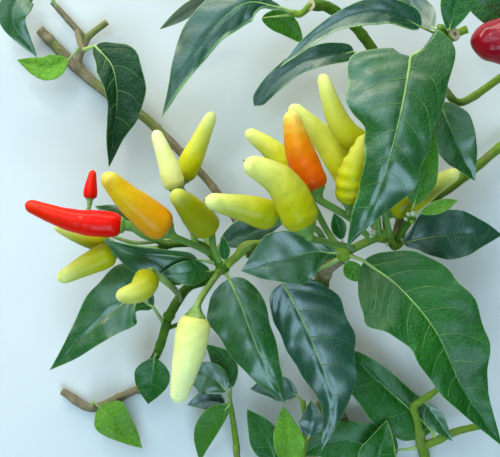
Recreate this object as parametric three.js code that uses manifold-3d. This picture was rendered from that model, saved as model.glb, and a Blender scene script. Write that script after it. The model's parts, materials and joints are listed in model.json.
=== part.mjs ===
import * as THREE from "three";
import Module from "manifold-3d";

// A cut fruiting branch of a chilli pepper plant, lying on the ground with its pods uppermost.
// It has woody and green boughs, leafy sprays, and long tapering pods that each hang by a stalk.
// The picture is taken from straight above. Places are given as [column, row, height]: the
// picture's column and row, and the height over the ground in millimetres.

// Driving dimensions, in millimetres
const fullPodLength = 45;
const fullPodColumns = 100;
const millimetresPerColumn = fullPodLength / fullPodColumns;
const heightOfPicture = 50;
const heightOfEye = 750;
const middleColumn = 250;
const middleRow = 228.5;
const shiftAlong = -10.06;
const shiftAcross = 2.18;
const clearance = 0.3;

// Leaves
const leastBladeThickness = 0.9;
const bladeThicknessShare = 0.0108;
const bladeTipWidth = 0.4;
const petioleRadius = 0.95;
const petioleRootSwelling = 1.25;
const petioleEdgeShare = 0.28;
const neckShare = 0.8;
const bladeStations = [0, 0.1, 0.26, 0.44, 0.62, 0.81, 1];
const bladeColumns = [-1, 0, 1];
const usualWidest = 0.4;
const tipFullness = 1.1;
const rootFullness = 0.85;
const rootWidthShare = 0.08;
const lobeShare = 0.35;

// Pods: each row is a share of the way to the tip and the radius there, as a share of the fullest
const podSides = 10;
const podOutline = [
  [0, 0.42],
  [0.04, 0.78],
  [0.13, 0.98],
  [0.27, 1],
  [0.5, 0.88],
  [0.76, 0.68],
  [0.94, 0.48],
  [1, 0.16],
];

// Stalks: the calyx's depth and radius are shares of the pod's fullest radius
const stalkSides = 6;
const stalkRadius = 1.5;
const stalkRootSwelling = 1.15;
const calyxNeckSwelling = 1.25;
const calyxRimRadius = 0.62;
const calyxWaistRadius = 0.5;
const calyxWaistDepth = 0.16;
const calyxDepth = 0.42;
const shareThatSetsDirection = 0.03;

// Knobs: the turns, in degrees, at which their rings lie
const knobSides = 6;
const knobTurns = [-70, -25, 25, 70];

// A direction steeper than this is squared up against the Y axis, and any other against Z
const steep = 0.9;

// The place in space of a picture column, a picture row and a height
function spot([column, row, height]) {
  const spread = (heightOfEye - height) / (heightOfEye - heightOfPicture);
  return new THREE.Vector3(
    (column - middleColumn) * millimetresPerColumn * spread + shiftAlong,
    (middleRow - row) * millimetresPerColumn * spread + shiftAcross,
    height
  );
}

// A width in picture columns as millimetres at a height
function span(columns, height) {
  return (columns * millimetresPerColumn * (heightOfEye - height)) / (heightOfEye - heightOfPicture);
}

// The point at a share of the way along a smooth line through the given points
function along(points, share) {
  const spans = points.length - 1;
  const place = Math.min(Math.max(share, 0), 1) * spans;
  const index = Math.min(Math.floor(place), spans - 1);
  const part = place - index;
  const start = points[index];
  const end = points[index + 1];
  const before = index > 0 ? points[index - 1] : start.clone().multiplyScalar(2).sub(end);
  const after = index + 2 <= spans ? points[index + 2] : end.clone().multiplyScalar(2).sub(start);
  const square = part * part;
  const cube = square * part;
  return new THREE.Vector3()
    .addScaledVector(before, (-cube + 2 * square - part) / 2)
    .addScaledVector(start, (3 * cube - 5 * square + 2) / 2)
    .addScaledVector(end, (-3 * cube + 4 * square + part) / 2)
    .addScaledVector(after, (cube - square) / 2);
}

// The value at a share of the way along an evenly spaced list of values
function between(values, share) {
  const place = Math.min(Math.max(share, 0), 1) * (values.length - 1);
  const index = Math.min(Math.floor(place), values.length - 2);
  return THREE.MathUtils.lerp(values[index], values[index + 1], place - index);
}

const wasm = await Module();
wasm.setup();

// A closed solid from a list of points and a list of triangles
function solidFrom(places, triangles) {
  const vertProperties = new Float32Array(places.flatMap((place) => [place.x, place.y, place.z]));
  const triVerts = new Uint32Array(triangles.flat());
  return new wasm.Manifold(new wasm.Mesh({ numProp: 3, vertProperties, triVerts }));
}

// A round solid through the given centres, with a radius at each
function roundSolid(centres, radii, sides) {
  const places = [];
  const triangles = [];
  const last = centres.length - 1;
  let side = null;
  centres.forEach((centre, ring) => {
    const ahead = centres[Math.min(ring + 1, last)].clone();
    ahead.sub(centres[Math.max(ring - 1, 0)]).normalize();
    if (side === null) {
      const isSteep = Math.abs(ahead.z) > steep;
      side = isSteep ? new THREE.Vector3(0, 1, 0) : new THREE.Vector3(0, 0, 1);
    }
    side = side.clone().addScaledVector(ahead, -side.dot(ahead)).normalize();
    const other = ahead.clone().cross(side);
    for (let step = 0; step < sides; step += 1) {
      const turn = (2 * Math.PI * step) / sides;
      const place = centre.clone();
      place.addScaledVector(side, radii[ring] * Math.cos(turn));
      place.addScaledVector(other, radii[ring] * Math.sin(turn));
      places.push(place);
    }
  });
  for (let ring = 0; ring < last; ring += 1) {
    for (let step = 0; step < sides; step += 1) {
      const next = (step + 1) % sides;
      const near = ring * sides;
      const far = near + sides;
      triangles.push([near + step, near + next, far + next]);
      triangles.push([near + step, far + next, far + step]);
    }
  }
  for (let step = 1; step < sides - 1; step += 1) {
    triangles.push([0, step + 1, step]);
    triangles.push([last * sides, last * sides + step, last * sides + step + 1]);
  }
  return solidFrom(places, triangles);
}

// A bough or twig with a radius at each of its points, made fatter by a margin when asked
function limbSolid(limb, margin = 0) {
  const centres = limb.points.map(spot);
  const last = centres.length - 1;
  const radii = centres.map((_, ring) => between(limb.radii, ring / last) + margin);
  if (margin > 0) {
    const startAway = centres[0].clone().sub(centres[1]).setLength(margin);
    const endAway = centres[last].clone().sub(centres[last - 1]).setLength(margin);
    centres[0].add(startAway);
    centres[last].add(endAway);
  }
  return roundSolid(centres, radii, limb.sides ?? stalkSides);
}

// A rounded swelling where twigs join
function knobSolid(knob, margin = 0) {
  const radius = knob.radius + margin;
  const turns = knobTurns.map((turn) => THREE.MathUtils.degToRad(turn));
  const centres = turns.map((turn) => spot(knob.at).setZ(knob.at[2] + radius * Math.sin(turn)));
  const radii = turns.map((turn) => radius * Math.cos(turn));
  return roundSolid(centres, radii, knobSides);
}

// Cuts a piece back so that it stops a clearance short of each limb or knob it meets
function stopAt(solid, { limbs = [], knobs = [] } = {}) {
  let left = solid;
  limbs.forEach((limb) => {
    left = left.subtract(limbSolid(limb, clearance));
  });
  knobs.forEach((knob) => {
    left = left.subtract(knobSolid(knob, clearance));
  });
  return left;
}

// How wide a blade is at a share of the way from its base, as a share of its widest
function bladeShare(share, widest) {
  if (share < widest) {
    const rise = Math.sin((Math.PI / 2) * (share / widest)) ** rootFullness;
    return rootWidthShare + (1 - rootWidthShare) * rise;
  }
  const past = (share - widest) / (1 - widest);
  return (1 - past) ** tipFullness * (1 + tipFullness * past);
}

// The rows of a leaf: its petiole, then its blade with the margins raised or lowered
function leafRows(leaf) {
  const petiole = leaf.from.map(spot);
  const blade = leaf.midrib.map(spot);
  const neck = petiole[petiole.length - 1].clone().lerp(blade[0], neckShare);
  const centres = [...petiole, neck, ...bladeStations.map((share) => along(blade, share))];
  const firstOfBlade = petiole.length + 1;
  const last = centres.length - 1;
  return centres.map((centre, index) => {
    const ahead = centres[Math.min(index + 1, last)].clone().sub(centres[Math.max(index - 1, 0)]);
    const left = new THREE.Vector3(-ahead.y, ahead.x, 0).normalize();
    if (index < firstOfBlade) {
      const reach = petioleRadius * (index === 0 ? petioleRootSwelling : 1);
      return bladeColumns.map((column) => centre.clone().addScaledVector(left, -column * reach));
    }
    const station = index - firstOfBlade;
    const share = bladeStations[station];
    const wide = bladeShare(share, leaf.widest ?? usualWidest);
    const fallBack = Math.max(0, 1 - share / lobeShare);
    ahead.normalize();
    return bladeColumns.map((column) => {
      const { widths, width, rise, lobe = 0 } = column < 0 ? leaf.left : leaf.right;
      const outward = Math.abs(column);
      const reach = span(widths ? widths[station] : width * wide, centre.z) + bladeTipWidth;
      const place = centre.clone().addScaledVector(left, -column * reach);
      place.addScaledVector(ahead, -span(lobe, centre.z) * fallBack * outward);
      place.z += rise * wide * outward;
      return place;
    });
  });
}

// The length of a blade along its midrib
function bladeLength(rows, firstOfBlade) {
  let length = 0;
  for (let row = firstOfBlade + 1; row < rows.length; row += 1) {
    length += rows[row][1].distanceTo(rows[row - 1][1]);
  }
  return length;
}

// The triangles that close a grid of upper points and the same grid of lower points after it
function slabTriangles(rowCount, columnCount) {
  const triangles = [];
  const under = rowCount * columnCount;
  const lastRow = rowCount - 1;
  const lastColumn = columnCount - 1;
  const quad = (first, second, third, fourth) => {
    triangles.push([first, second, third]);
    triangles.push([first, third, fourth]);
  };
  for (let row = 0; row < lastRow; row += 1) {
    for (let column = 0; column < lastColumn; column += 1) {
      const here = row * columnCount + column;
      const on = here + columnCount;
      quad(here, here + 1, on + 1, on);
      quad(under + here, under + on, under + on + 1, under + here + 1);
    }
    const leftEdge = row * columnCount;
    const rightEdge = leftEdge + lastColumn;
    quad(leftEdge, leftEdge + columnCount, under + leftEdge + columnCount, under + leftEdge);
    quad(rightEdge, under + rightEdge, under + rightEdge + columnCount, rightEdge + columnCount);
  }
  for (let column = 0; column < lastColumn; column += 1) {
    const tip = lastRow * columnCount + column;
    quad(column, under + column, under + column + 1, column + 1);
    quad(tip, tip + 1, under + tip + 1, under + tip);
  }
  return triangles;
}

// A leaf with its petiole, whose root is sunk in a stem
function leafSolid(leaf) {
  const rows = leafRows(leaf);
  const lastRow = rows.length - 1;
  const lastColumn = bladeColumns.length - 1;
  const firstOfBlade = leaf.from.length + 1;
  const bladeThickness = Math.max(leastBladeThickness, bladeThicknessShare * bladeLength(rows, firstOfBlade));
  const upper = [];
  const lower = [];
  rows.forEach((row, index) => {
    const isPetiole = index < firstOfBlade;
    const next = rows[Math.min(index + 1, lastRow)];
    const previous = rows[Math.max(index - 1, 0)];
    row.forEach((place, column) => {
      const ahead = next[column].clone().sub(previous[column]);
      const across = row[Math.min(column + 1, lastColumn)].clone().sub(row[Math.max(column - 1, 0)]);
      const up = across.cross(ahead).normalize();
      const edgeShare = column === 1 ? 1 : 2 * petioleEdgeShare;
      const half = isPetiole ? petioleRadius * edgeShare : bladeThickness / 2;
      upper.push(place.clone().addScaledVector(up, half));
      lower.push(place.clone().addScaledVector(up, -half));
    });
  });
  return solidFrom([...upper, ...lower], slabTriangles(rows.length, bladeColumns.length));
}

// A spray: a stem with its side twigs, knobs and leaves fused on
function spraySolid({ limbs = [], knobs = [], leaves = [] }) {
  const solids = [
    ...limbs.map((limb) => limbSolid(limb)),
    ...knobs.map((knob) => knobSolid(knob)),
    ...leaves.map((leaf) => leafSolid(leaf)),
  ];
  return solids.reduce((whole, solid) => whole.add(solid));
}

// A pod's axis as points in space, and its fullest radius
function podAxis(pod) {
  return [pod.base, pod.middle, pod.tip].map(spot);
}

function podRadius(pod) {
  return span(pod.width, pod.middle[2]) / 2;
}

// A pod: its axis runs from the stalk end through its middle to its tip
function podSolid(pod) {
  const axis = podAxis(pod);
  const centres = podOutline.map(([share]) => along(axis, share));
  const radii = podOutline.map(([, thick]) => podRadius(pod) * thick);
  return roundSolid(centres, radii, pod.sides ?? podSides);
}

// A pod's stalk, which flares into a calyx that stops a clearance short of the pod's end
function stalkSolid(pod) {
  const axis = podAxis(pod);
  const radius = podRadius(pod);
  const away = axis[0].clone().sub(along(axis, shareThatSetsDirection)).normalize();
  const cup = [0, calyxWaistDepth, calyxDepth].map((depth) => {
    return axis[0].clone().addScaledVector(away, clearance + radius * depth);
  });
  const stem = pod.thick ?? stalkRadius;
  const path = [cup[2], ...pod.stalk.map(spot)];
  const last = path.length;
  const centres = [...cup];
  const radii = [radius * calyxRimRadius, radius * calyxWaistRadius, stem * calyxNeckSwelling];
  for (let ring = 1; ring <= last; ring += 1) {
    centres.push(along(path, ring / last));
    radii.push(ring === last ? stem * stalkRootSwelling : stem);
  }
  return roundSolid(centres, radii, stalkSides);
}

// The joints that boughs, sprays and stalks share
const nodeA = [222, 268, 46];
const nodeW = [163, 246, 46];
const nodeP = [203, 246, 44];
const nodeB = [344, 253, 40];
const nodeC1 = [381, 236, 42];
const nodeC2 = [396, 243, 42];
const nodeD = [411, 217, 60];
const nodeE = [446, 38, 56];

const knobA = { at: nodeA, radius: 3 };
const knobB = { at: nodeB, radius: 4 };
const knobW = { at: nodeW, radius: 2.3 };
const knobC2 = { at: nodeC2, radius: 3.4 };
const knobE = { at: nodeE, radius: 3 };
const knobLow = { at: [169, 316, 27], radius: 2.8 };
const twigAW = { points: [nodeA, nodeP, [183, 244, 45], nodeW], radii: [1.9, 1.7, 1.5, 1.4] };
const stemRight = { points: [nodeC2, [405, 227, 52], nodeD], radii: [1.9, 1.6, 1.8] };

// Boughs
const leftBough = {
  points: [nodeB, [318, 247, 37], [290, 244, 39], [263, 244, 42], [246, 247, 44], [236, 257, 45], nodeA],
  radii: [2, 1.9, 1.8, 1.9, 2.7, 1.8, 1.9],
};
const leftStub = { points: [[246, 247, 44], [248, 257, 41]], radii: [1, 0.9] };
const rightBough = {
  points: [nodeB, [362, 244, 41], nodeC1, nodeC2],
  radii: [2.1, 1.9, 2.6, 3.2],
};
const trunk = {
  points: [
    [340, 257, 35.6],
    [323, 276, 28],
    [322, 330, 20],
    [328, 385, 11],
    [318, 435, 4.6],
    [300, 472, 4.2],
  ],
  radii: [3.5, 3.6, 3.8, 4, 4.2, 4.3],
  sides: 10,
};
const upperBough = {
  points: [nodeC2, [405, 205, 30], [403, 160, 26], [398, 110, 27], [422, 75, 42], [444, 42, 54.3]],
  radii: [3.2, 3.2, 3, 2.9, 2.7, 2.6],
  sides: 9,
};
const topBough = {
  points: [[398, 110, 27], [382, 66, 31], [358, 30, 34], [330, 8, 36], [311, 5, 45]],
  radii: [2.5, 2.3, 2.3, 2.5, 2.5],
  sides: 8,
};
const woodyBough = {
  points: [
    [246, 247, 44],
    [251, 252, 30],
    [246, 238, 18],
    [216, 191, 13],
    [180, 151, 10],
    [140, 114, 7],
    [108, 94, 4],
    [76, 67, 2.6],
    [40, 30, 2.3],
  ],
  radii: [1.4, 1.4, 1.5, 1.7, 2, 2.2, 2.4, 2.6, 2.3],
  sides: 8,
};
const woodyArm = { points: [[76, 67, 2.6], [86, 40, 4], [107, 22, 6]], radii: [2, 1.7, 1.5] };
const lowBough = {
  points: [nodeA, [207, 280, 34], [186, 289, 29], [169, 316, 27]],
  radii: [2, 2.1, 2.2, 2.3],
};
const farBough = {
  points: [[405, 205, 30], [440, 194, 24], [470, 172, 16], [505, 143, 7], [535, 122, 2.1]],
  radii: [2.1, 2.1, 2.2, 2.2, 2.2],
};
const footBough = {
  points: [[328, 385, 11], [350, 430, 6], [392, 466, 3], [428, 476, 2.1]],
  radii: [2.2, 2.2, 2.2, 2.2],
};

// Leafy sprays. A leaf's left and right are as seen going from its base to its tip.
const sprays = {
  left: {
    limbs: [twigAW],
    knobs: [knobA, knobW],
    leaves: [
      {
        from: [nodeA],
        midrib: [[229, 279, 47], [241, 305, 50], [253, 338, 51], [268, 372, 49], [285, 404, 42]],
        left: { widths: [8, 16, 22, 21, 18, 11, 0], rise: -3 },
        right: { widths: [12, 26, 36, 31, 24, 13, 0], rise: -4 },
      },
      {
        from: [[217, 263, 45.5]],
        midrib: [[197, 260, 48], [184, 257, 50], [140, 251, 55], [103, 239, 62]],
        left: { width: 28, rise: -6 },
        right: { width: 5, rise: 4 },
      },
      {
        from: [nodeA],
        midrib: [[210, 271, 47], [186, 273, 52], [159, 275, 51]],
        left: { width: 12, rise: 1 },
        right: { width: 12, rise: 1 },
      },
      {
        from: [nodeA],
        midrib: [[225, 260, 50], [223, 236, 56]],
        left: { width: 5, rise: 1 },
        right: { width: 5, rise: 1 },
      },
      {
        from: [[213, 258, 45], [216, 250, 38]],
        midrib: [[220, 243, 34], [250, 231, 32], [287, 220, 30]],
        left: { width: 13, rise: 1 },
        right: { width: 13, rise: 1 },
      },
      {
        from: [nodeW],
        midrib: [[142, 229, 39], [118, 216, 37], [95, 206, 35]],
        left: { width: 10, rise: 1 },
        right: { width: 10, rise: 1 },
      },
    ],
  },
  low: {
    limbs: [
      {
        points: [[167, 321, 25.8], [163, 336, 22], [157, 353, 16], [148, 370, 8.4], [138, 392, 1.6]],
        radii: [2.2, 2.1, 2, 1.9, 1.8],
      },
      { points: [[165, 329, 23.5], [183, 322, 24], [192, 309, 26]], radii: [1.1, 0.9, 0.8] },
      {
        points: [[141, 388, 2.6], [120, 397, 3], [91, 408, 3.6], [62, 391, 2.6]],
        radii: [1.9, 1.9, 2.1, 1.8],
      },
    ],
    leaves: [
      {
        from: [[165, 325, 25]],
        midrib: [[153, 307, 30], [134, 299, 33], [110, 313, 33], [80, 341, 29], [50, 370, 22]],
        left: { widths: [3, 8, 20, 24, 17, 11, 0], rise: 3 },
        right: { widths: [4, 12, 36, 31, 23, 10, 0], rise: -3 },
      },
      {
        from: [[158, 350, 17]],
        midrib: [[154, 358, 19], [152, 380, 17], [148, 404, 11]],
        left: { width: 17, rise: 1 },
        right: { width: 18, rise: 1 },
      },
      {
        from: [[92, 407, 4], [94, 402, 8]],
        midrib: [[99, 407, 11], [113, 421, 12], [142, 448, 7]],
        left: { width: 19, rise: 1 },
        right: { width: 17, rise: 1 },
      },
    ],
  },
  middle: {
    knobs: [knobB],
    leaves: [
      {
        from: [nodeB],
        midrib: [[336, 253, 43.5], [313, 252, 47], [290, 258, 49], [265, 265, 49], [241, 271, 47]],
        left: { widths: [3, 8, 23, 27, 22, 12, 0], rise: 3 },
        right: { widths: [3, 7, 16, 25, 30, 17, 0], rise: -3 },
      },
      {
        from: [[343, 256, 39], [324, 267, 40]],
        midrib: [[283, 283, 41], [301, 317, 38], [319, 359, 35], [333, 404, 31], [322, 450, 27]],
        left: { widths: [14, 30, 42, 41, 30, 10, 0], rise: -3 },
        right: { widths: [14, 22, 26, 25, 18, 9, 0], rise: -4 },
      },
      {
        from: [nodeB],
        midrib: [[364, 261, 48], [400, 288, 57], [437, 333, 60], [464, 391, 55], [502, 446, 47]],
        left: { widths: [8, 23, 43, 48, 41, 19, 0], rise: 2 },
        right: { widths: [9, 33, 48, 33, 28, 14, 0], rise: 3 },
      },
      {
        from: [nodeB],
        midrib: [[342, 239, 46], [334, 213, 50]],
        left: { width: 7, rise: 1 },
        right: { width: 7, rise: 1 },
        widest: 0.45,
      },
      {
        from: [nodeB],
        midrib: [[346, 262, 42], [361, 282, 46]],
        left: { width: 9, rise: 1 },
        right: { width: 9, rise: 1 },
        widest: 0.45,
      },
    ],
  },
  right: {
    limbs: [stemRight],
    knobs: [{ at: nodeD, radius: 2.6 }],
    leaves: [
      {
        from: [nodeD],
        midrib: [[414, 205, 62], [424, 170, 66], [434, 128, 66]],
        left: { width: 16, rise: 1 },
        right: { width: 14, rise: 1 },
      },
      {
        from: [nodeD],
        midrib: [[421, 213, 60], [458, 200, 60]],
        left: { width: 6, rise: 1 },
        right: { width: 6, rise: 1 },
        widest: 0.5,
      },
      {
        from: [[400, 236, 47]],
        midrib: [[404, 243, 46], [426, 238, 46], [452, 235, 44], [477, 234, 42], [502, 235, 38]],
        left: { widths: [3, 10, 24, 26, 22, 13, 0], rise: 1 },
        right: { widths: [3, 7, 17, 23, 22, 12, 0], rise: 1 },
      },
    ],
  },
  crown: {
    knobs: [knobE],
    limbs: [
      { points: [nodeE, [455, 34, 62]], radii: [2.8, 2.8], sides: 8 },
      { points: [nodeE, [467, 29, 59]], radii: [1.8, 1.8], sides: 7 },
      { points: [nodeE, [439, 26, 63]], radii: [1.5, 2], sides: 7 },
    ],
    leaves: [
      {
        from: [nodeE, [432, 44, 67]],
        midrib: [[411, 57, 75], [403, 103, 82], [391, 152, 83], [375, 200, 76], [347, 247, 64]],
        left: { widths: [30, 42, 39, 35, 33, 12, 0], rise: -3, lobe: 28 },
        right: { widths: [34, 59, 55, 27, 21, 16, 0], rise: -5, lobe: 2 },
      },
      {
        from: [nodeE],
        midrib: [[421, 27, 62], [390, 12, 67], [355, 14, 68], [318, 33, 66], [280, 67, 61]],
        left: { widths: [4, 8, 12, 14, 9, 6, 0], rise: 2 },
        right: { widths: [5, 13, 12, 11, 7, 5, 0], rise: 1 },
      },
      {
        from: [nodeE],
        midrib: [[449, 30, 64], [458, 0, 68], [466, -22, 70]],
        left: { width: 16, rise: 1 },
        right: { width: 15, rise: 1 },
        widest: 0.5,
      },
      {
        from: [[444, 34, 57]],
        midrib: [[433, 28, 56], [417, 10, 50], [398, -15, 46]],
        left: { width: 14, rise: 1 },
        right: { width: 14, rise: 1 },
        widest: 0.45,
      },
    ],
  },
  top: {
    limbs: [
      { points: [[311, 5, 44], [300, 14, 41], [290, 12, 42]], radii: [1.6, 1.5, 1.3] },
    ],
    leaves: [
      {
        from: [[292, 12, 42]],
        midrib: [[281, 8, 45], [246, 3, 50], [212, 30, 50], [183, 75, 48], [162, 117, 44]],
        left: { widths: [2, 3, 19, 16, 11, 5, 0], rise: -2 },
        right: { widths: [2, 6, 14, 26, 22, 9, 0], rise: -3 },
      },
      {
        from: [[300, 14, 41]],
        midrib: [[262, 18, 32], [285, 24, 28], [304, 44, 24]],
        left: { width: 11, rise: 1 },
        right: { width: 11, rise: 1 },
      },
      {
        from: [[296, 13, 41]],
        midrib: [[222, -8, 30], [190, 8, 27], [160, 29, 24]],
        left: { width: 5, rise: -8 },
        right: { width: 4, rise: 6 },
        widest: 0.5,
      },
    ],
  },
  behind: {
    limbs: [{ points: [[398, 110, 27], [386, 92, 22], [372, 72, 20]], radii: [1.6, 1.4, 1.2] }],
    leaves: [
      {
        from: [[372, 72, 20]],
        midrib: [[354, 52, 22], [326, 56, 24], [300, 64, 24], [275, 82, 23], [254, 106, 20]],
        left: { widths: [6, 8, 9, 9, 9, 7, 0], rise: 2 },
        right: { widths: [6, 10, 11, 12, 11, 8, 0], rise: 1 },
      },
    ],
  },
  far_left: {
    limbs: [
      { points: [[86, 40, 4], [70, 22, 5], [52, 2, 6]], radii: [1.6, 1.5, 1.3] },
      { points: [[77, 30, 4.6], [80, 42, 13], [84, 51, 20]], radii: [1.4, 1.3, 1.2] },
    ],
    leaves: [
      {
        from: [[83.5, 50, 19.5]],
        midrib: [[95, 46, 24], [112, 66, 28], [117, 96, 28], [114, 130, 25], [109, 167, 19]],
        left: { widths: [6, 14, 28, 28, 24, 10, 0], rise: 2 },
        right: { widths: [4, 9, 16, 11, 8, 6, 0], rise: 2 },
      },
      {
        from: [[81, 46, 16]],
        midrib: [[68, 60, 14], [46, 68, 15], [17, 60, 12]],
        left: { width: 12, rise: 1 },
        right: { width: 12, rise: 1 },
      },
      {
        from: [[58, 9, 5.7], [50, -4, 9]],
        midrib: [[38, -12, 14], [20, -5, 17], [13, 22, 18], [37, 57, 13]],
        left: { width: 17, rise: 1 },
        right: { width: 15, rise: 1 },
      },
    ],
  },
  far_right: {
    limbs: [
      {
        points: [[430, 64, 45], [447, 92, 35], [463, 102, 30], [500, 78, 27], [535, 56, 24]],
        radii: [1.9, 1.8, 1.8, 1.7, 1.5],
      },
    ],
    leaves: [
      {
        from: [[447, 92, 35]],
        midrib: [[440, 103, 38], [448, 122, 40], [457, 145, 40], [466, 163, 39], [475, 181, 36]],
        left: { widths: [6, 14, 21, 21, 17, 9, 0], rise: 1 },
        right: { widths: [6, 14, 20, 21, 17, 9, 0], rise: 1 },
      },
      {
        from: [[520, 66, 25]],
        midrib: [[520, 26, 30], [490, 10, 34], [455, -12, 34]],
        left: { width: 15, rise: 1 },
        right: { width: 15, rise: 1 },
      },
    ],
  },
  foot: {
    limbs: [
      {
        points: [
          [306, 462, 4.3],
          [290, 474, 9],
          [262, 476, 12],
          [240, 464, 12],
          [236, 442, 12],
          [233, 420, 13],
          [230, 402, 14],
        ],
        radii: [1.9, 1.8, 1.7, 1.6, 1.5, 1.3, 1.1],
      },
      {
        points: [[296, 470, 7.4], [305, 447, 15], [305, 424, 18], [303, 401, 17]],
        radii: [1.4, 1.3, 1.2, 1.1],
      },
    ],
    leaves: [
      {
        from: [[230, 402, 14]],
        midrib: [[227, 391, 16], [213, 378, 17], [197, 374, 16], [180, 378, 13]],
        left: { width: 20, rise: 1 },
        right: { width: 14, rise: 1 },
      },
      {
        from: [[230, 404, 14]],
        midrib: [[225, 404, 12], [208, 401, 10], [187, 405, 8]],
        left: { width: 8, rise: 1 },
        right: { width: 11, rise: 1 },
      },
      {
        from: [[230, 403, 14]],
        midrib: [[229, 406, 17], [214, 421, 17], [205, 439, 13], [200, 462, 8]],
        left: { width: 9, rise: 1 },
        right: { width: 14, rise: 1 },
      },
      {
        from: [[230, 403, 14]],
        midrib: [[231, 388, 12], [223, 363, 12], [206, 344, 10]],
        left: { width: 11, rise: 1 },
        right: { width: 12, rise: 1 },
      },
      {
        from: [[290, 474, 9]],
        midrib: [[293, 464, 17], [288, 439, 21], [283, 406, 19]],
        left: { width: 15, rise: 1 },
        right: { width: 15, rise: 1 },
      },
      {
        from: [[268, 476, 11.5]],
        midrib: [[277, 464, 13], [266, 437, 15], [247, 409, 13]],
        left: { width: 17, rise: 1 },
        right: { width: 14, rise: 1 },
      },
      {
        from: [[303, 403, 17]],
        midrib: [[297, 395, 16], [275, 387, 14], [250, 389, 11]],
        left: { width: 12, rise: 1 },
        right: { width: 12, rise: 1 },
      },
      {
        from: [[305, 440, 16.2]],
        midrib: [[309, 437, 18], [313, 421, 21], [311, 400, 19]],
        left: { width: 13, rise: 1 },
        right: { width: 11, rise: 1 },
      },
    ],
  },
  low_right: {
    limbs: [
      {
        points: [
          [426, 476, 2.4],
          [425, 458, 9],
          [421, 443, 15],
          [417, 420, 22],
          [414, 407, 24],
          [423, 400, 25],
          [438, 389, 26],
        ],
        radii: [2.3, 2.4, 2.5, 1.6, 1.9, 1.5, 1.3],
      },
      { points: [[421, 446, 14], [436, 441, 15], [455, 432, 16], [480, 426, 16]], radii: [2, 1.9, 1.8, 1.6] },
    ],
    leaves: [
      {
        from: [[436, 441, 15]],
        midrib: [[432, 431, 14], [417, 416, 13], [388, 390, 15], [358, 363, 16], [346, 350, 14]],
        left: { widths: [6, 20, 30, 33, 28, 14, 0], rise: 1 },
        right: { widths: [5, 11, 15, 15, 14, 9, 0], rise: 1 },
      },
      {
        from: [[421, 446, 13.5], [410, 449, 12]],
        midrib: [[398, 450, 11], [372, 446, 12], [345, 441, 12], [318, 446, 11], [297, 457, 9]],
        left: { widths: [6, 16, 22, 22, 17, 8, 0], rise: 1 },
        right: { widths: [6, 16, 21, 21, 15, 7, 0], rise: 1 },
      },
      {
        from: [[426, 470, 4.5], [400, 480, 9]],
        midrib: [[374, 480, 14], [377, 462, 17], [383, 441, 19], [387, 420, 17]],
        left: { widths: [4, 12, 20, 20, 15, 9, 0], rise: 2 },
        right: { widths: [4, 12, 19, 18, 12, 7, 0], rise: 2 },
      },
      {
        from: [[423, 400, 25]],
        midrib: [[427, 405, 23], [437, 419, 21], [452, 441, 17]],
        left: { width: 7, rise: 1 },
        right: { width: 11, rise: 1 },
      },
    ],
  },
};

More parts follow.
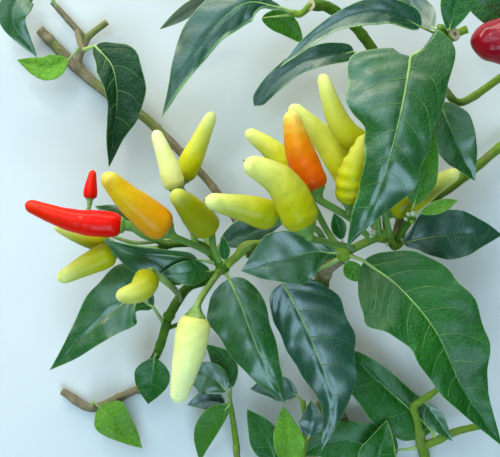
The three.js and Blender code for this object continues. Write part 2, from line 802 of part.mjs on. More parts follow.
// Pods, each from its stalk end through its middle to its tip, with its stalk's path back to the plant
const pods = {
  red_long: {
    base: [123, 225, 58],
    middle: [75, 221, 59],
    tip: [25, 204, 60],
    width: 27,
    stalk: [[143, 235, 55], [164, 243, 47]],
  },
  orange_left: {
    base: [167, 231, 70],
    middle: [135, 205, 76],
    tip: [103, 174, 82],
    width: 34,
    stalk: [[189, 243, 60], [210, 253, 45]],
  },
  green_behind_red: {
    base: [107, 243, 38],
    middle: [82, 236, 38],
    tip: [54, 225, 38],
    width: 21,
    stalk: [[148, 249, 38], [171, 245, 45]],
  },
  green_low_left: {
    base: [114, 252, 50],
    middle: [87, 264.5, 50],
    tip: [57.5, 280, 50],
    width: 25,
    stalk: [[138, 256, 48], [161, 251, 45]],
  },
  green_bent: {
    base: [149, 276, 62],
    middle: [139, 291, 70],
    tip: [116, 297, 70],
    width: 26,
    stalk: [[164, 280, 57], [176, 291, 45], [179, 300, 29]],
  },
  pale_upper: {
    base: [176, 190, 44],
    middle: [167, 162, 44],
    tip: [155, 130, 45],
    width: 22,
    stalk: [[188, 215, 43], [196, 245, 44.5]],
  },
  green_upper: {
    base: [182, 180, 29],
    middle: [197, 148, 29],
    tip: [213, 112, 32],
    width: 23,
    stalk: [[198, 214, 32], [206, 238, 33], [209, 252, 44.5]],
  },
  green_toward: {
    base: [208, 229, 49],
    middle: [192.5, 211, 63],
    tip: [174, 193, 78],
    width: 32,
    stalk: [[214, 249, 47], nodeA],
  },
  green_centre: {
    base: [277, 217, 64],
    middle: [244, 208, 68],
    tip: [205, 200, 74],
    width: 31,
    stalk: [[300, 224, 58], [316, 229, 48], [323, 239, 40], [325, 248, 37.5]],
  },
  pale_hanging: {
    base: [195.5, 315, 66],
    middle: [187.5, 359, 66],
    tip: [177, 403, 62],
    width: 34,
    stalk: [[204, 293, 62], nodeA],
  },
  green_mid_left: {
    base: [297, 180, 44],
    middle: [273, 151, 46],
    tip: [246, 131, 48],
    width: 25,
    stalk: [[314, 206, 40], [328, 232, 36], nodeB],
  },
  orange_mid: {
    base: [316, 191, 61],
    middle: [299.5, 151, 62],
    tip: [290, 110.5, 62],
    width: 33,
    stalk: [[350, 218, 51], [364, 232, 46], [373, 241, 42]],
  },
  green_large: {
    base: [306, 229, 80],
    middle: [282.5, 184, 82],
    tip: [244.5, 161, 84],
    width: 38,
    stalk: [[326, 242, 63], [345, 246, 52], [352, 248, 42]],
  },
  green_mid_right: {
    base: [357, 190, 38],
    middle: [330, 147, 38],
    tip: [290, 105.5, 42],
    width: 31,
    stalk: [[361, 208, 33], [373, 225, 33], [380, 237, 40]],
  },
  green_high: {
    base: [372, 155, 47],
    middle: [340.5, 124, 50],
    tip: [321.5, 74, 48],
    width: 26,
    stalk: [[380, 180, 50], [385, 211, 53], [391, 241, 42.3]],
  },
  wrinkled: {
    base: [351, 204, 58],
    middle: [354, 172, 61.5],
    tip: [369, 134, 60.5],
    width: 33,
    stalk: [[366, 208, 53], [376, 214, 52], [379, 234, 44]],
  },
  green_right: {
    base: [392, 212, 42],
    middle: [424, 192, 47],
    tip: [459, 171, 50],
    width: 27,
    stalk: [[386, 229, 36], [388, 240, 42]],
  },
  red_right: {
    base: [533, 38, 50],
    middle: [505, 40.5, 52],
    tip: [470.5, 42, 54],
    width: 58,
    stalk: [[543, 40, 36], [535, 56, 24]],
  },
  red_small: {
    base: [90, 199, 26],
    middle: [91, 186, 26],
    tip: [93, 170, 26],
    width: 14,
    sides: 8,
    thick: 0.9,
    stalk: [[90, 222, 27], [130, 242, 31], [170, 240, 34], [182, 244, 45]],
  },
};

// What each stalk stops short of
const stalkStops = {
  red_long: { limbs: [twigAW], knobs: [knobW] },
  orange_left: { limbs: [twigAW], knobs: [knobA] },
  green_behind_red: { limbs: [twigAW], knobs: [knobW] },
  green_low_left: { limbs: [twigAW], knobs: [knobW] },
  green_bent: { limbs: [lowBough] },
  pale_upper: { limbs: [twigAW] },
  green_upper: { limbs: [twigAW] },
  green_toward: { limbs: [twigAW], knobs: [knobA] },
  green_centre: { limbs: [leftBough] },
  pale_hanging: { knobs: [knobA] },
  green_mid_left: { limbs: [trunk, leftBough], knobs: [knobB] },
  orange_mid: { limbs: [rightBough] },
  green_large: { limbs: [rightBough], knobs: [knobB] },
  green_mid_right: { limbs: [rightBough] },
  green_high: { limbs: [rightBough], knobs: [knobC2] },
  wrinkled: { limbs: [rightBough] },
  green_right: { limbs: [rightBough, upperBough], knobs: [knobC2] },
  red_right: { limbs: [sprays.far_right.limbs[0]] },
  red_small: { limbs: [twigAW], knobs: [knobW] },
};

// What each spray stops short of
const sprayStops = {
  low: { limbs: [lowBough], knobs: [knobLow] },
  right: { limbs: [rightBough, upperBough], knobs: [knobC2] },
  top: { limbs: [topBough] },
  behind: { limbs: [upperBough, topBough] },
  far_left: { limbs: [woodyBough, woodyArm] },
  far_right: { limbs: [upperBough] },
  foot: { limbs: [trunk] },
  low_right: { limbs: [footBough] },
};

const brownBark = { colour: 0x7a6a45, roughness: 0.8 };
const greenBark = { colour: 0x6f8f3c, roughness: 0.6 };
const leafGreen = { colour: 0x2f6b35, roughness: 0.45 };
const stalkGreen = { colour: 0x4f7a2c, roughness: 0.45 };
const yellowSkin = { colour: 0xc9d24a, roughness: 0.25 };
const paleSkin = { colour: 0xd9dd6a, roughness: 0.25 };
const orangeSkin = { colour: 0xf0a020, roughness: 0.25 };
const redSkin = { colour: 0xd8201a, roughness: 0.25 };

const podSkins = {
  red_long: redSkin,
  orange_left: orangeSkin,
  orange_mid: orangeSkin,
  red_right: redSkin,
  red_small: redSkin,
  pale_hanging: paleSkin,
  pale_upper: paleSkin,
};

// Each bough's limbs and knobs, what they stop short of, and their bark
const boughs = {
  bough_trunk: { limbs: [trunk], stops: { knobs: [knobB] }, finish: brownBark },
  bough_left: {
    limbs: [leftBough, leftStub],
    stops: { limbs: [trunk], knobs: [knobA, knobB] },
    finish: greenBark,
  },
  bough_right: { limbs: [rightBough], knobs: [knobC2], stops: { knobs: [knobB] }, finish: greenBark },
  bough_upper: {
    limbs: [upperBough],
    stops: { limbs: [rightBough], knobs: [knobC2, knobE] },
    finish: brownBark,
  },
  bough_top: { limbs: [topBough], stops: { limbs: [upperBough] }, finish: greenBark },
  bough_woody: {
    limbs: [woodyBough, woodyArm],
    stops: { limbs: [leftBough, leftStub] },
    finish: brownBark,
  },
  bough_low: { limbs: [lowBough], knobs: [knobLow], stops: { knobs: [knobA] }, finish: greenBark },
  bough_far_right: { limbs: [farBough], stops: { limbs: [upperBough] }, finish: greenBark },
  bough_foot: { limbs: [footBough], stops: { limbs: [trunk] }, finish: brownBark },
};

// Makes a named mesh from a solid
function meshFrom(name, solid, { colour, roughness }) {
  const made = solid.getMesh();
  const geometry = new THREE.BufferGeometry();
  geometry.setAttribute("position", new THREE.BufferAttribute(new Float32Array(made.vertProperties), 3));
  geometry.setIndex(new THREE.BufferAttribute(new Uint32Array(made.triVerts), 1));
  geometry.computeVertexNormals();
  const material = new THREE.MeshStandardMaterial({ color: colour, roughness });
  const mesh = new THREE.Mesh(geometry, material);
  mesh.name = name;
  return mesh;
}

const branch = new THREE.Group();
branch.name = "chilli_branch";

Object.entries(boughs).forEach(([name, bough]) => {
  branch.add(meshFrom(name, stopAt(spraySolid(bough), bough.stops), bough.finish));
});

Object.entries(sprays).forEach(([name, parts]) => {
  branch.add(meshFrom(`spray_${name}`, stopAt(spraySolid(parts), sprayStops[name]), leafGreen));
});

Object.entries(pods).forEach(([name, pod]) => {
  branch.add(meshFrom(`pod_${name}`, podSolid(pod), podSkins[name] ?? yellowSkin));
  branch.add(meshFrom(`stalk_${name}`, stopAt(stalkSolid(pod), stalkStops[name]), stalkGreen));
});

export default branch;
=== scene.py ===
"""A cut fruiting branch of a chilli pepper plant, dressed round the frame of its solids.

A place is (column, row, height): the picture's column and row, and the height over the ground
in millimetres. Shapes are worked out in millimetres and become meshes in metres.
"""

import json
import math

import bpy
import numpy as np
from bpy.props import FloatProperty, FloatVectorProperty, IntProperty, PointerProperty
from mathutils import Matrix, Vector

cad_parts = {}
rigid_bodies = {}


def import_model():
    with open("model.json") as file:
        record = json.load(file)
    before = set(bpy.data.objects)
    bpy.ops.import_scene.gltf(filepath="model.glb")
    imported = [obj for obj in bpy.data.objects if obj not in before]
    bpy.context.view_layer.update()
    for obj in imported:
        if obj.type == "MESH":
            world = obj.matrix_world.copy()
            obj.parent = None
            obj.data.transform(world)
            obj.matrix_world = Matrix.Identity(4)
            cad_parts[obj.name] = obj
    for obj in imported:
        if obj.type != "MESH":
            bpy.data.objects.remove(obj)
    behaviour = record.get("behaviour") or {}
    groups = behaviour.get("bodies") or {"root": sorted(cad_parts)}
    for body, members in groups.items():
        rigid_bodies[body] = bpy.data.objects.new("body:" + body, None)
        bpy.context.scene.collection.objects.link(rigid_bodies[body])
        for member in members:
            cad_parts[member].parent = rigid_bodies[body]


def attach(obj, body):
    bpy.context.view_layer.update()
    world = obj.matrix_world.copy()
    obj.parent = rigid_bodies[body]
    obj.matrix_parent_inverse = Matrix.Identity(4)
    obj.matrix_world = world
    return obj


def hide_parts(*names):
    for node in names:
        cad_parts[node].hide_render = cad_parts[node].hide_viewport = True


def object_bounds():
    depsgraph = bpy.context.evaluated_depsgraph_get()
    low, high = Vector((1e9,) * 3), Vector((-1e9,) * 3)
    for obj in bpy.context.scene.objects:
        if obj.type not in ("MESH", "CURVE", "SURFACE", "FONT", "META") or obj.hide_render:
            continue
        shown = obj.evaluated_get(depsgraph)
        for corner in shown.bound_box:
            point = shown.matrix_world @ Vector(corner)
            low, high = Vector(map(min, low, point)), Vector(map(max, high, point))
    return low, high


bl_info = {
    "name": "Chilli branch",
    "version": (1, 0, 0),
    "blender": (4, 5, 0),
    "location": "View3D > Sidebar > Chilli",
    "description": "Dresses a cut chilli branch: bark, twigs, leaves, veins, pods, stalks and buds",
    "category": "Object",
}

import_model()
CAD_LOW, CAD_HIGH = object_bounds()

# Real sizes, in millimetres, that the solids are made from too
MILLIMETRE = 0.001
FULL_POD_LENGTH = 45.0
FULL_POD_COLUMNS = 100.0
COLUMN = FULL_POD_LENGTH / FULL_POD_COLUMNS
PICTURE_COLUMNS = 500
PICTURE_ROWS = 457
MIDDLE_COLUMN = PICTURE_COLUMNS / 2
MIDDLE_ROW = PICTURE_ROWS / 2
PICTURE_HEIGHT = 50.0
EYE_HEIGHT = 750.0
SHIFT_ALONG = -10.06
SHIFT_ACROSS = 2.18

# Blades: the shares along the midrib at which widths are given, and how a plain outline runs
BLADE_STATIONS = (0, 0.1, 0.26, 0.44, 0.62, 0.81, 1)
USUAL_WIDEST = 0.4
TIP_FULLNESS = 1.1
ROOT_FULLNESS = 0.85
ROOT_WIDTH_SHARE = 0.08
LOBE_SHARE = 0.35
BASE_ROUNDING = 0.055
LOBED_ROUNDING = 0.08
LOBE_START = 0.009
FULL_BLADE_REACH = 15.0

# Side veins: where the first leaves the midrib, how far they lean towards the tip, and their curve
FIRST_VEIN = 0.05
LAST_VEIN = 0.86
VEIN_LEAN = 0.25
VEIN_STRAIGHTNESS = 0.42
VEIN_CURVE_POWER = 2.4
VEIN_REACH = 0.92
VEIN_LIFT = 0.19
VEIN_END = 0.08
LOWEST_VEIN = 0.015
HIGHEST_VEIN = 0.93

# How finely lines and round bodies are divided
LEAF_STALK_STEPS = 36
MIDRIB_STEPS = 60
SIDE_VEIN_STEPS = 18
POD_STALK_STEPS = 44
POD_RINGS = 100
POD_SIDES = 60
CAP_RINGS = 26
CAP_SIDES = 50
BUD_RINGS = 16
BUD_SIDES = 30
KNOB_RINGS = 19
KNOB_SIDES = 28

# Where each kind of piece starts in the chance numbers, and the steps between like pieces
TWIG_SEED = 300
LEAF_SEED = 500
POD_SEED = 900
CAP_SEED = 1300
BUD_SEED = 1500
POINT_SEED = 1600
LIMB_SEED_STEP = 20
LEAF_SEED_STEP = 40
POD_SEED_STEP = 10
KNOB_SEED_STEP = 9

# Twigs: how close their swollen rings stand, as a share of those on boughs
TWIG_JOINT_SHARE = 0.8

# Bark pores: how many stand on a square metre, their radius in metres, and their form
PORE_DENSITY = 42000.0
PORE_RADIUS = 0.00028
PORE_FLATNESS = 0.5
PORE_STRETCH = 1.7

# Pods: a share of the way to the tip, and the radius there as a share of the fullest
POD_OUTLINE = (
    (0, 0.2), (0.012, 0.5), (0.05, 0.8), (0.13, 0.975), (0.27, 1),
    (0.5, 0.88), (0.76, 0.68), (0.94, 0.5), (1, 0.42),
)

NODE_A = (222, 268, 46)
NODE_W = (163, 246, 46)
NODE_P = (203, 246, 44)
NODE_B = (344, 253, 40)
NODE_C1 = (381, 236, 42)
NODE_C2 = (396, 243, 42)
NODE_D = (411, 217, 60)
NODE_E = (446, 38, 56)
SWOLLEN_NODE = (246, 247, 44)


def limb(points, radii, cut=False, dry=False):
    """A bough or twig: its places, a radius in millimetres at each, a cut end or not, dry bark or not."""
    return {"points": points, "radii": radii, "cut": cut, "dry": dry}


def leaf(root, midrib, left, right, tone, widest=USUAL_WIDEST, wave=1.0, lime=(0.45, 0.45)):
    """A leaf. left and right hold the half width in columns, the rise of the margin and the lobe."""
    sides = [(*side, 0)[:3] for side in (left, right)]
    return {
        "root": root, "midrib": midrib, "sides": sides, "tone": tone,
        "widest": widest, "wave": wave, "lime": lime,
    }


def pod(base, middle, tip, width, stalk, thick=1.5, skin="yellow", outline=POD_OUTLINE, lumps=1.0):
    """A pod from its stalk end to its tip, with the path of its stalk back to the plant."""
    return {
        "axis": (base, middle, tip), "width": width, "stalk": stalk, "thick": thick,
        "skin": skin, "outline": outline, "lumps": lumps,
    }


TWIG_AW = limb([NODE_A, NODE_P, (183, 244, 45), NODE_W], [1.9, 1.7, 1.5, 1.4])
STEM_RIGHT = limb([NODE_C2, (405, 227, 52), NODE_D], [1.9, 1.6, 1.8])

BOUGHS = {
    "bough_trunk": [
        limb(
            [
                (340, 257, 35.6), (323, 276, 28), (322, 330, 20),
                (328, 385, 11), (318, 435, 4.6), (300, 472, 4.2),
            ],
            [3.5, 3.6, 3.8, 4, 4.2, 4.3],
            cut=True,
        ),
    ],
    "bough_left": [
        limb(
            [NODE_B, (318, 247, 37), (290, 244, 39), (263, 244, 42), SWOLLEN_NODE, (236, 257, 45), NODE_A],
            [2, 1.9, 1.8, 1.9, 2.7, 1.8, 1.9],
        ),
        limb([SWOLLEN_NODE, (248, 257, 41)], [1, 0.9]),
    ],
    "bough_right": [limb([NODE_B, (362, 244, 41), NODE_C1, NODE_C2], [2.1, 1.9, 2.6, 3.2])],
    "bough_upper": [
        limb(
            [NODE_C2, (405, 205, 30), (403, 160, 26), (398, 110, 27), (422, 75, 42), (444, 42, 54.3)],
            [3.2, 3.2, 3, 2.9, 2.7, 2.6],
        ),
    ],
    "bough_top": [
        limb(
            [(398, 110, 27), (382, 66, 31), (358, 30, 34), (330, 8, 36), (311, 5, 45)],
            [2.5, 2.3, 2.3, 2.5, 2.5],
            cut=True,
        ),
    ],
    "bough_woody": [
        limb(
            [
                SWOLLEN_NODE, (251, 252, 30), (246, 238, 18), (216, 191, 13), (180, 151, 10),
                (140, 114, 7), (108, 94, 4), (76, 67, 2.6), (40, 30, 2.3),
            ],
            [1.4, 1.4, 1.5, 1.7, 2, 2.2, 2.4, 2.6, 2.3],
            cut=True,
        ),
        limb([(76, 67, 2.6), (86, 40, 4), (107, 22, 6)], [2, 1.7, 1.5], cut=True),
    ],
    "bough_low": [limb([NODE_A, (207, 280, 34), (186, 289, 29), (169, 316, 27)], [2, 2.1, 2.2, 2.3])],
    "bough_far_right": [
        limb(
            [(405, 205, 30), (440, 194, 24), (470, 172, 16), (505, 143, 7), (535, 122, 2.1)],
            [2.1, 2.1, 2.2, 2.2, 2.2],
            cut=True,
        ),
    ],
    "bough_foot": [
        limb([(328, 385, 11), (350, 430, 6), (392, 466, 3), (428, 476, 2.1)], [2.2, 2.2, 2.2, 2.2], cut=True),
    ],
}
GREEN_BOUGHS = ("bough_left", "bough_right", "bough_low", "bough_far_right", "bough_top")
SHADED_LIMBS = ("bough_low", "bough_top", "left", "low", "right", "behind")

# Swellings where twigs join: the piece that holds each, its place and its radius
KNOBS = (
    ("left", NODE_A, 3.0), ("left", NODE_W, 2.3), ("middle", NODE_B, 4.0), ("right", NODE_D, 2.6),
    ("crown", NODE_E, 3.0), ("bough_right", NODE_C2, 3.4), ("bough_low", (169, 316, 27), 2.8),
)

SPRAYS = {
    "left": {
        "twigs": [TWIG_AW],
        "leaves": [
            leaf(
                [NODE_A],
                [(229, 279, 47), (241, 305, 50), (253, 338, 51), (268, 372, 49), (285, 404, 42)],
                ([8, 16, 22, 21, 18, 11, 0], -3), ([12, 26, 36, 31, 24, 13, 0], -4), tone=0.42,
            ),
            leaf(
                [(217, 263, 45.5)],
                [(197, 260, 48), (184, 257, 50), (140, 251, 55), (103, 239, 62)],
                (28, -6), (5, 4), tone=0.3,
            ),
            leaf(
                [NODE_A],
                [(210, 271, 47), (186, 273, 52), (159, 275, 51)],
                (12, 1), (12, 1), tone=0.4,
            ),
            leaf(
                [NODE_A],
                [(225, 260, 50), (223, 236, 56)],
                (5, 1), (5, 1), tone=0.5,
            ),
            leaf(
                [(213, 258, 45), (216, 250, 38)],
                [(220, 243, 34), (250, 231, 32), (287, 220, 30)],
                (13, 1), (13, 1), tone=0.15,
            ),
            leaf(
                [NODE_W],
                [(142, 229, 39), (118, 216, 37), (95, 206, 35)],
                (10, 1), (10, 1), tone=0.4,
            ),
        ],
    },
    "low": {
        "twigs": [
            limb(
                [(167, 321, 25.8), (163, 336, 22), (157, 353, 16), (148, 370, 8.4), (138, 392, 1.6)],
                [2.2, 2.1, 2, 1.9, 1.8],
            ),
            limb([(165, 329, 23.5), (183, 322, 24), (192, 309, 26)], [1.1, 0.9, 0.8]),
            limb(
                [(141, 388, 2.6), (120, 397, 3), (91, 408, 3.6), (62, 391, 2.6)],
                [1.9, 1.9, 2.1, 1.8],
                cut=True, dry=True,
            ),
        ],
        "leaves": [
            leaf(
                [(165, 325, 25)],
                [(153, 307, 30), (134, 299, 33), (110, 313, 33), (80, 341, 29), (50, 370, 22)],
                ([3, 8, 20, 24, 17, 11, 0], 3), ([4, 12, 36, 31, 23, 10, 0], -3), tone=0.3,
            ),
            leaf(
                [(158, 350, 17)],
                [(154, 358, 19), (152, 380, 17), (148, 404, 11)],
                (17, 1), (18, 1), tone=0.5,
            ),
            leaf(
                [(92, 407, 4), (94, 402, 8)],
                [(99, 407, 11), (113, 421, 12), (142, 448, 7)],
                (19, 1), (17, 1), tone=0.95,
            ),
        ],
    },
    "middle": {
        "twigs": [],
        "leaves": [
            leaf(
                [NODE_B],
                [(336, 253, 45.5), (313, 252, 48), (290, 258, 49), (265, 265, 49), (241, 271, 48)],
                ([3, 8, 23, 27, 22, 12, 0], 1), ([3, 7, 16, 25, 30, 17, 0], 2.5), tone=0.38,
            ),
            leaf(
                [(343, 256, 39), (324, 267, 40)],
                [(283, 283, 41), (301, 317, 38), (319, 359, 35), (333, 404, 31), (322, 450, 27)],
                ([14, 30, 42, 41, 30, 10, 0], -3), ([14, 22, 26, 25, 18, 9, 0], -4), tone=0.1,
            ),
            leaf(
                [NODE_B],
                [(364, 261, 48), (400, 288, 57), (437, 333, 60), (464, 391, 55), (502, 446, 47)],
                ([8, 23, 43, 48, 41, 19, 0], 2), ([9, 33, 48, 33, 28, 14, 0], 3), tone=0.58,
            ),
            leaf(
                [NODE_B],
                [(342, 239, 46), (334, 213, 50)],
                (7, 1), (7, 1), tone=0.45, widest=0.45,
            ),
            leaf(
                [NODE_B],
                [(346, 262, 42), (361, 282, 46)],
                (9, 1), (9, 1), tone=0.68, widest=0.45,
            ),
        ],
    },
    "right": {
        "twigs": [STEM_RIGHT],
        "leaves": [
            leaf(
                [NODE_D],
                [(414, 205, 62), (424, 170, 66), (434, 128, 66)],
                (16, 1), (14, 1), tone=0.75,
            ),
            leaf(
                [NODE_D],
                [(421, 213, 60), (458, 200, 60)],
                (6, 1), (6, 1), tone=0.9, widest=0.5,
            ),
            leaf(
                [(400, 236, 47)],
                [(404, 243, 46), (426, 238, 46), (452, 235, 44), (477, 234, 42), (502, 235, 38)],
                ([3, 10, 24, 26, 22, 13, 0], 1), ([3, 7, 17, 23, 22, 12, 0], 1), tone=0.1,
            ),
        ],
    },
    "crown": {
        "twigs": [
            limb([NODE_E, (455, 34, 62)], [2.8, 2.8], cut=True),
            limb([NODE_E, (467, 29, 59)], [1.8, 1.8], cut=True),
            limb([NODE_E, (439, 26, 63)], [1.5, 1.2]),
        ],
        "leaves": [
            leaf(
                [NODE_E, (432, 44, 67)],
                [(411, 57, 75), (403, 103, 82), (391, 152, 83), (375, 200, 76), (347, 247, 64)],
                ([36, 43, 39, 35, 33, 12, 0], -3, 40),
                (
                    {
                        0: 34, 0.1: 59, 0.2: 58, 0.3: 54, 0.36: 45,
                        0.41: 31, 0.47: 27, 0.62: 21, 0.81: 16, 1: 0,
                    },
                    -5, 8,
                ),
                tone=0.33, lime=(0.5, 0.9),
            ),
            leaf(
                [NODE_E],
                [(421, 27, 62), (390, 12, 67), (355, 14, 68), (318, 33, 66), (280, 67, 61)],
                ([4, 8, 12, 14, 9, 6, 0], 2), ([5, 13, 12, 11, 7, 5, 0], 1), tone=0.2, lime=(1.1, 0.45),
            ),
            leaf(
                [NODE_E],
                [(449, 30, 64), (458, 0, 68), (466, -22, 70)],
                (16, 1), (15, 1), tone=0.6, widest=0.5,
            ),
            leaf(
                [(444, 34, 57)],
                [(433, 28, 56), (417, 10, 50), (398, -15, 46)],
                (14, 1), (14, 1), tone=0.15, widest=0.45,
            ),
        ],
    },
    "top": {
        "twigs": [limb([(311, 5, 44), (300, 14, 41), (290, 12, 42)], [1.6, 1.5, 1.3])],
        "leaves": [
            leaf(
                [(292, 12, 42)],
                [(281, 8, 45), (246, 3, 50), (212, 30, 50), (183, 75, 48), (162, 117, 44)],
                ([2, 3, 19, 16, 11, 5, 0], -2), ([2, 6, 14, 26, 22, 9, 0], -3), tone=0.2, lime=(2.2, 0.45),
            ),
            leaf(
                [(300, 14, 41)],
                [(262, 18, 32), (285, 24, 28), (304, 44, 24)],
                (11, 1), (11, 1), tone=0.85,
            ),
            leaf(
                [(296, 13, 41)],
                [(222, -8, 30), (190, 8, 27), (160, 29, 24)],
                (5, -8), (4, 6), tone=0.3, widest=0.5,
            ),
        ],
    },
    "behind": {
        "twigs": [limb([(398, 110, 27), (386, 92, 22), (372, 72, 20)], [1.6, 1.4, 1.2])],
        "leaves": [
            leaf(
                [(372, 72, 20)],
                [(354, 52, 22), (326, 56, 24), (300, 64, 24), (275, 82, 23), (254, 106, 20)],
                ({0: 6, 0.1: 8, 0.3: 9, 0.62: 9, 0.82: 8.5, 0.94: 6.5, 1: 0}, 2),
                ({0: 6, 0.1: 10, 0.3: 12, 0.62: 11, 0.82: 9, 0.94: 7, 1: 0}, 1),
                tone=0.18, wave=1.4, lime=(0.9, 0.45),
            ),
        ],
    },
    "far_left": {
        "twigs": [
            limb([(86, 40, 4), (70, 22, 5), (52, 2, 6)], [1.6, 1.5, 1.3], cut=True, dry=True),
            limb([(77, 30, 4.6), (80, 42, 13), (84, 51, 20)], [1.4, 1.3, 1.2], dry=True),
        ],
        "leaves": [
            leaf(
                [(83.5, 50, 19.5)],
                [(95, 46, 24), (112, 66, 28), (117, 96, 28), (114, 130, 25), (109, 167, 19)],
                ([6, 14, 28, 28, 24, 10, 0], 2), ([4, 9, 16, 11, 8, 6, 0], 2), tone=0.04, wave=1.3,
            ),
            leaf(
                [(81, 46, 16)],
                [(68, 60, 14), (46, 68, 15), (17, 60, 12)],
                (12, 1), (12, 1), tone=0.95,
            ),
            leaf(
                [(58, 9, 5.7), (50, -4, 9)],
                [(38, -12, 14), (20, -5, 17), (13, 22, 18), (37, 57, 13)],
                (17, 1), (15, 1), tone=0.4,
            ),
        ],
    },
    "far_right": {
        "twigs": [
            limb(
                [(430, 64, 45), (447, 92, 35), (463, 102, 30), (500, 78, 27), (535, 56, 24)],
                [1.9, 1.8, 1.8, 1.7, 1.5],
            ),
        ],
        "leaves": [
            leaf(
                [(447, 92, 35)],
                [(440, 103, 38), (448, 122, 40), (457, 145, 40), (466, 163, 39), (475, 181, 36)],
                ([6, 14, 21, 21, 17, 9, 0], 1), ([6, 14, 20, 21, 17, 9, 0], 1), tone=0.3,
            ),
            leaf(
                [(520, 66, 25)],
                [(520, 26, 30), (490, 10, 34), (455, -12, 34)],
                (15, 1), (15, 1), tone=0.3,
            ),
        ],
    },
    "foot": {
        "twigs": [
            limb(
                [
                    (306, 462, 4.3), (290, 474, 9), (262, 476, 12), (240, 464, 12),
                    (236, 442, 12), (233, 420, 13), (230, 402, 14),
                ],
                [1.9, 1.8, 1.7, 1.6, 1.5, 1.3, 1.1],
            ),
            limb([(296, 470, 7.4), (305, 447, 15), (305, 424, 18), (303, 401, 17)], [1.4, 1.3, 1.2, 1.1]),
        ],
        "leaves": [
            leaf(
                [(230, 402, 14)],
                [(227, 391, 16), (213, 378, 17), (197, 374, 16), (180, 378, 13)],
                (20, 1), (14, 1), tone=0.3,
            ),
            leaf(
                [(230, 404, 14)],
                [(225, 404, 12), (208, 401, 10), (187, 405, 8)],
                (8, 1), (11, 1), tone=0.2,
            ),
            leaf(
                [(230, 403, 14)],
                [(229, 406, 17), (214, 421, 17), (205, 439, 13), (200, 462, 8)],
                (9, 1), (14, 1), tone=0.8,
            ),
            leaf(
                [(230, 403, 14)],
                [(231, 388, 12), (223, 363, 12), (206, 344, 10)],
                (11, 1), (12, 1), tone=0.6,
            ),
            leaf(
                [(290, 474, 9)],
                [(293, 464, 17), (288, 439, 21), (283, 406, 19)],
                (15, 1), (15, 1), tone=0.92,
            ),
            leaf(
                [(268, 476, 11.5)],
                [(277, 464, 13), (266, 437, 15), (247, 409, 13)],
                (17, 1), (14, 1), tone=0.55,
            ),
            leaf(
                [(303, 403, 17)],
                [(297, 395, 16), (275, 387, 14), (250, 389, 11)],
                (12, 1), (12, 1), tone=0.2,
            ),
            leaf(
                [(305, 440, 16.2)],
                [(309, 437, 18), (313, 421, 21), (311, 400, 19)],
                (13, 1), (11, 1), tone=0.15,
            ),
        ],
    },
    "low_right": {
        "twigs": [
            limb(
                [
                    (426, 476, 2.4), (425, 458, 9), (421, 443, 15), (417, 420, 22),
                    (414, 407, 24), (423, 400, 25), (438, 389, 26),
                ],
                [2.3, 2.4, 2.5, 1.6, 1.9, 1.5, 1.3],
                cut=True,
            ),
            limb(
                [(421, 446, 14), (436, 441, 15), (455, 432, 16), (480, 426, 16)],
                [2, 1.9, 1.8, 1.6],
                cut=True,
            ),
        ],
        "leaves": [
            leaf(
                [(436, 441, 15)],
                [(432, 431, 14), (417, 416, 13), (388, 390, 15), (358, 363, 16), (346, 350, 14)],
                ([6, 20, 30, 33, 28, 14, 0], 1), ([5, 11, 15, 15, 14, 9, 0], 1), tone=0.5,
            ),
            leaf(
                [(421, 446, 13.5), (410, 449, 12)],
                [(398, 450, 11), (372, 446, 12), (345, 441, 12), (318, 446, 11), (297, 457, 9)],
                ([6, 16, 22, 22, 17, 8, 0], 1), ([6, 16, 21, 21, 15, 7, 0], 1), tone=0.45,
            ),
            leaf(
                [(426, 470, 4.5), (400, 480, 9)],
                [(374, 480, 14), (377, 462, 17), (383, 441, 19), (387, 420, 17)],
                ([4, 12, 20, 20, 15, 9, 0], 2), ([4, 12, 19, 18, 12, 7, 0], 2),
                tone=0.6, wave=1.6, lime=(1.1, 1.1),
            ),
            leaf(
                [(423, 400, 25)],
                [(427, 405, 23), (437, 419, 21), (452, 441, 17)],
                (7, 1), (11, 1), tone=0.3,
            ),
        ],
    },
}

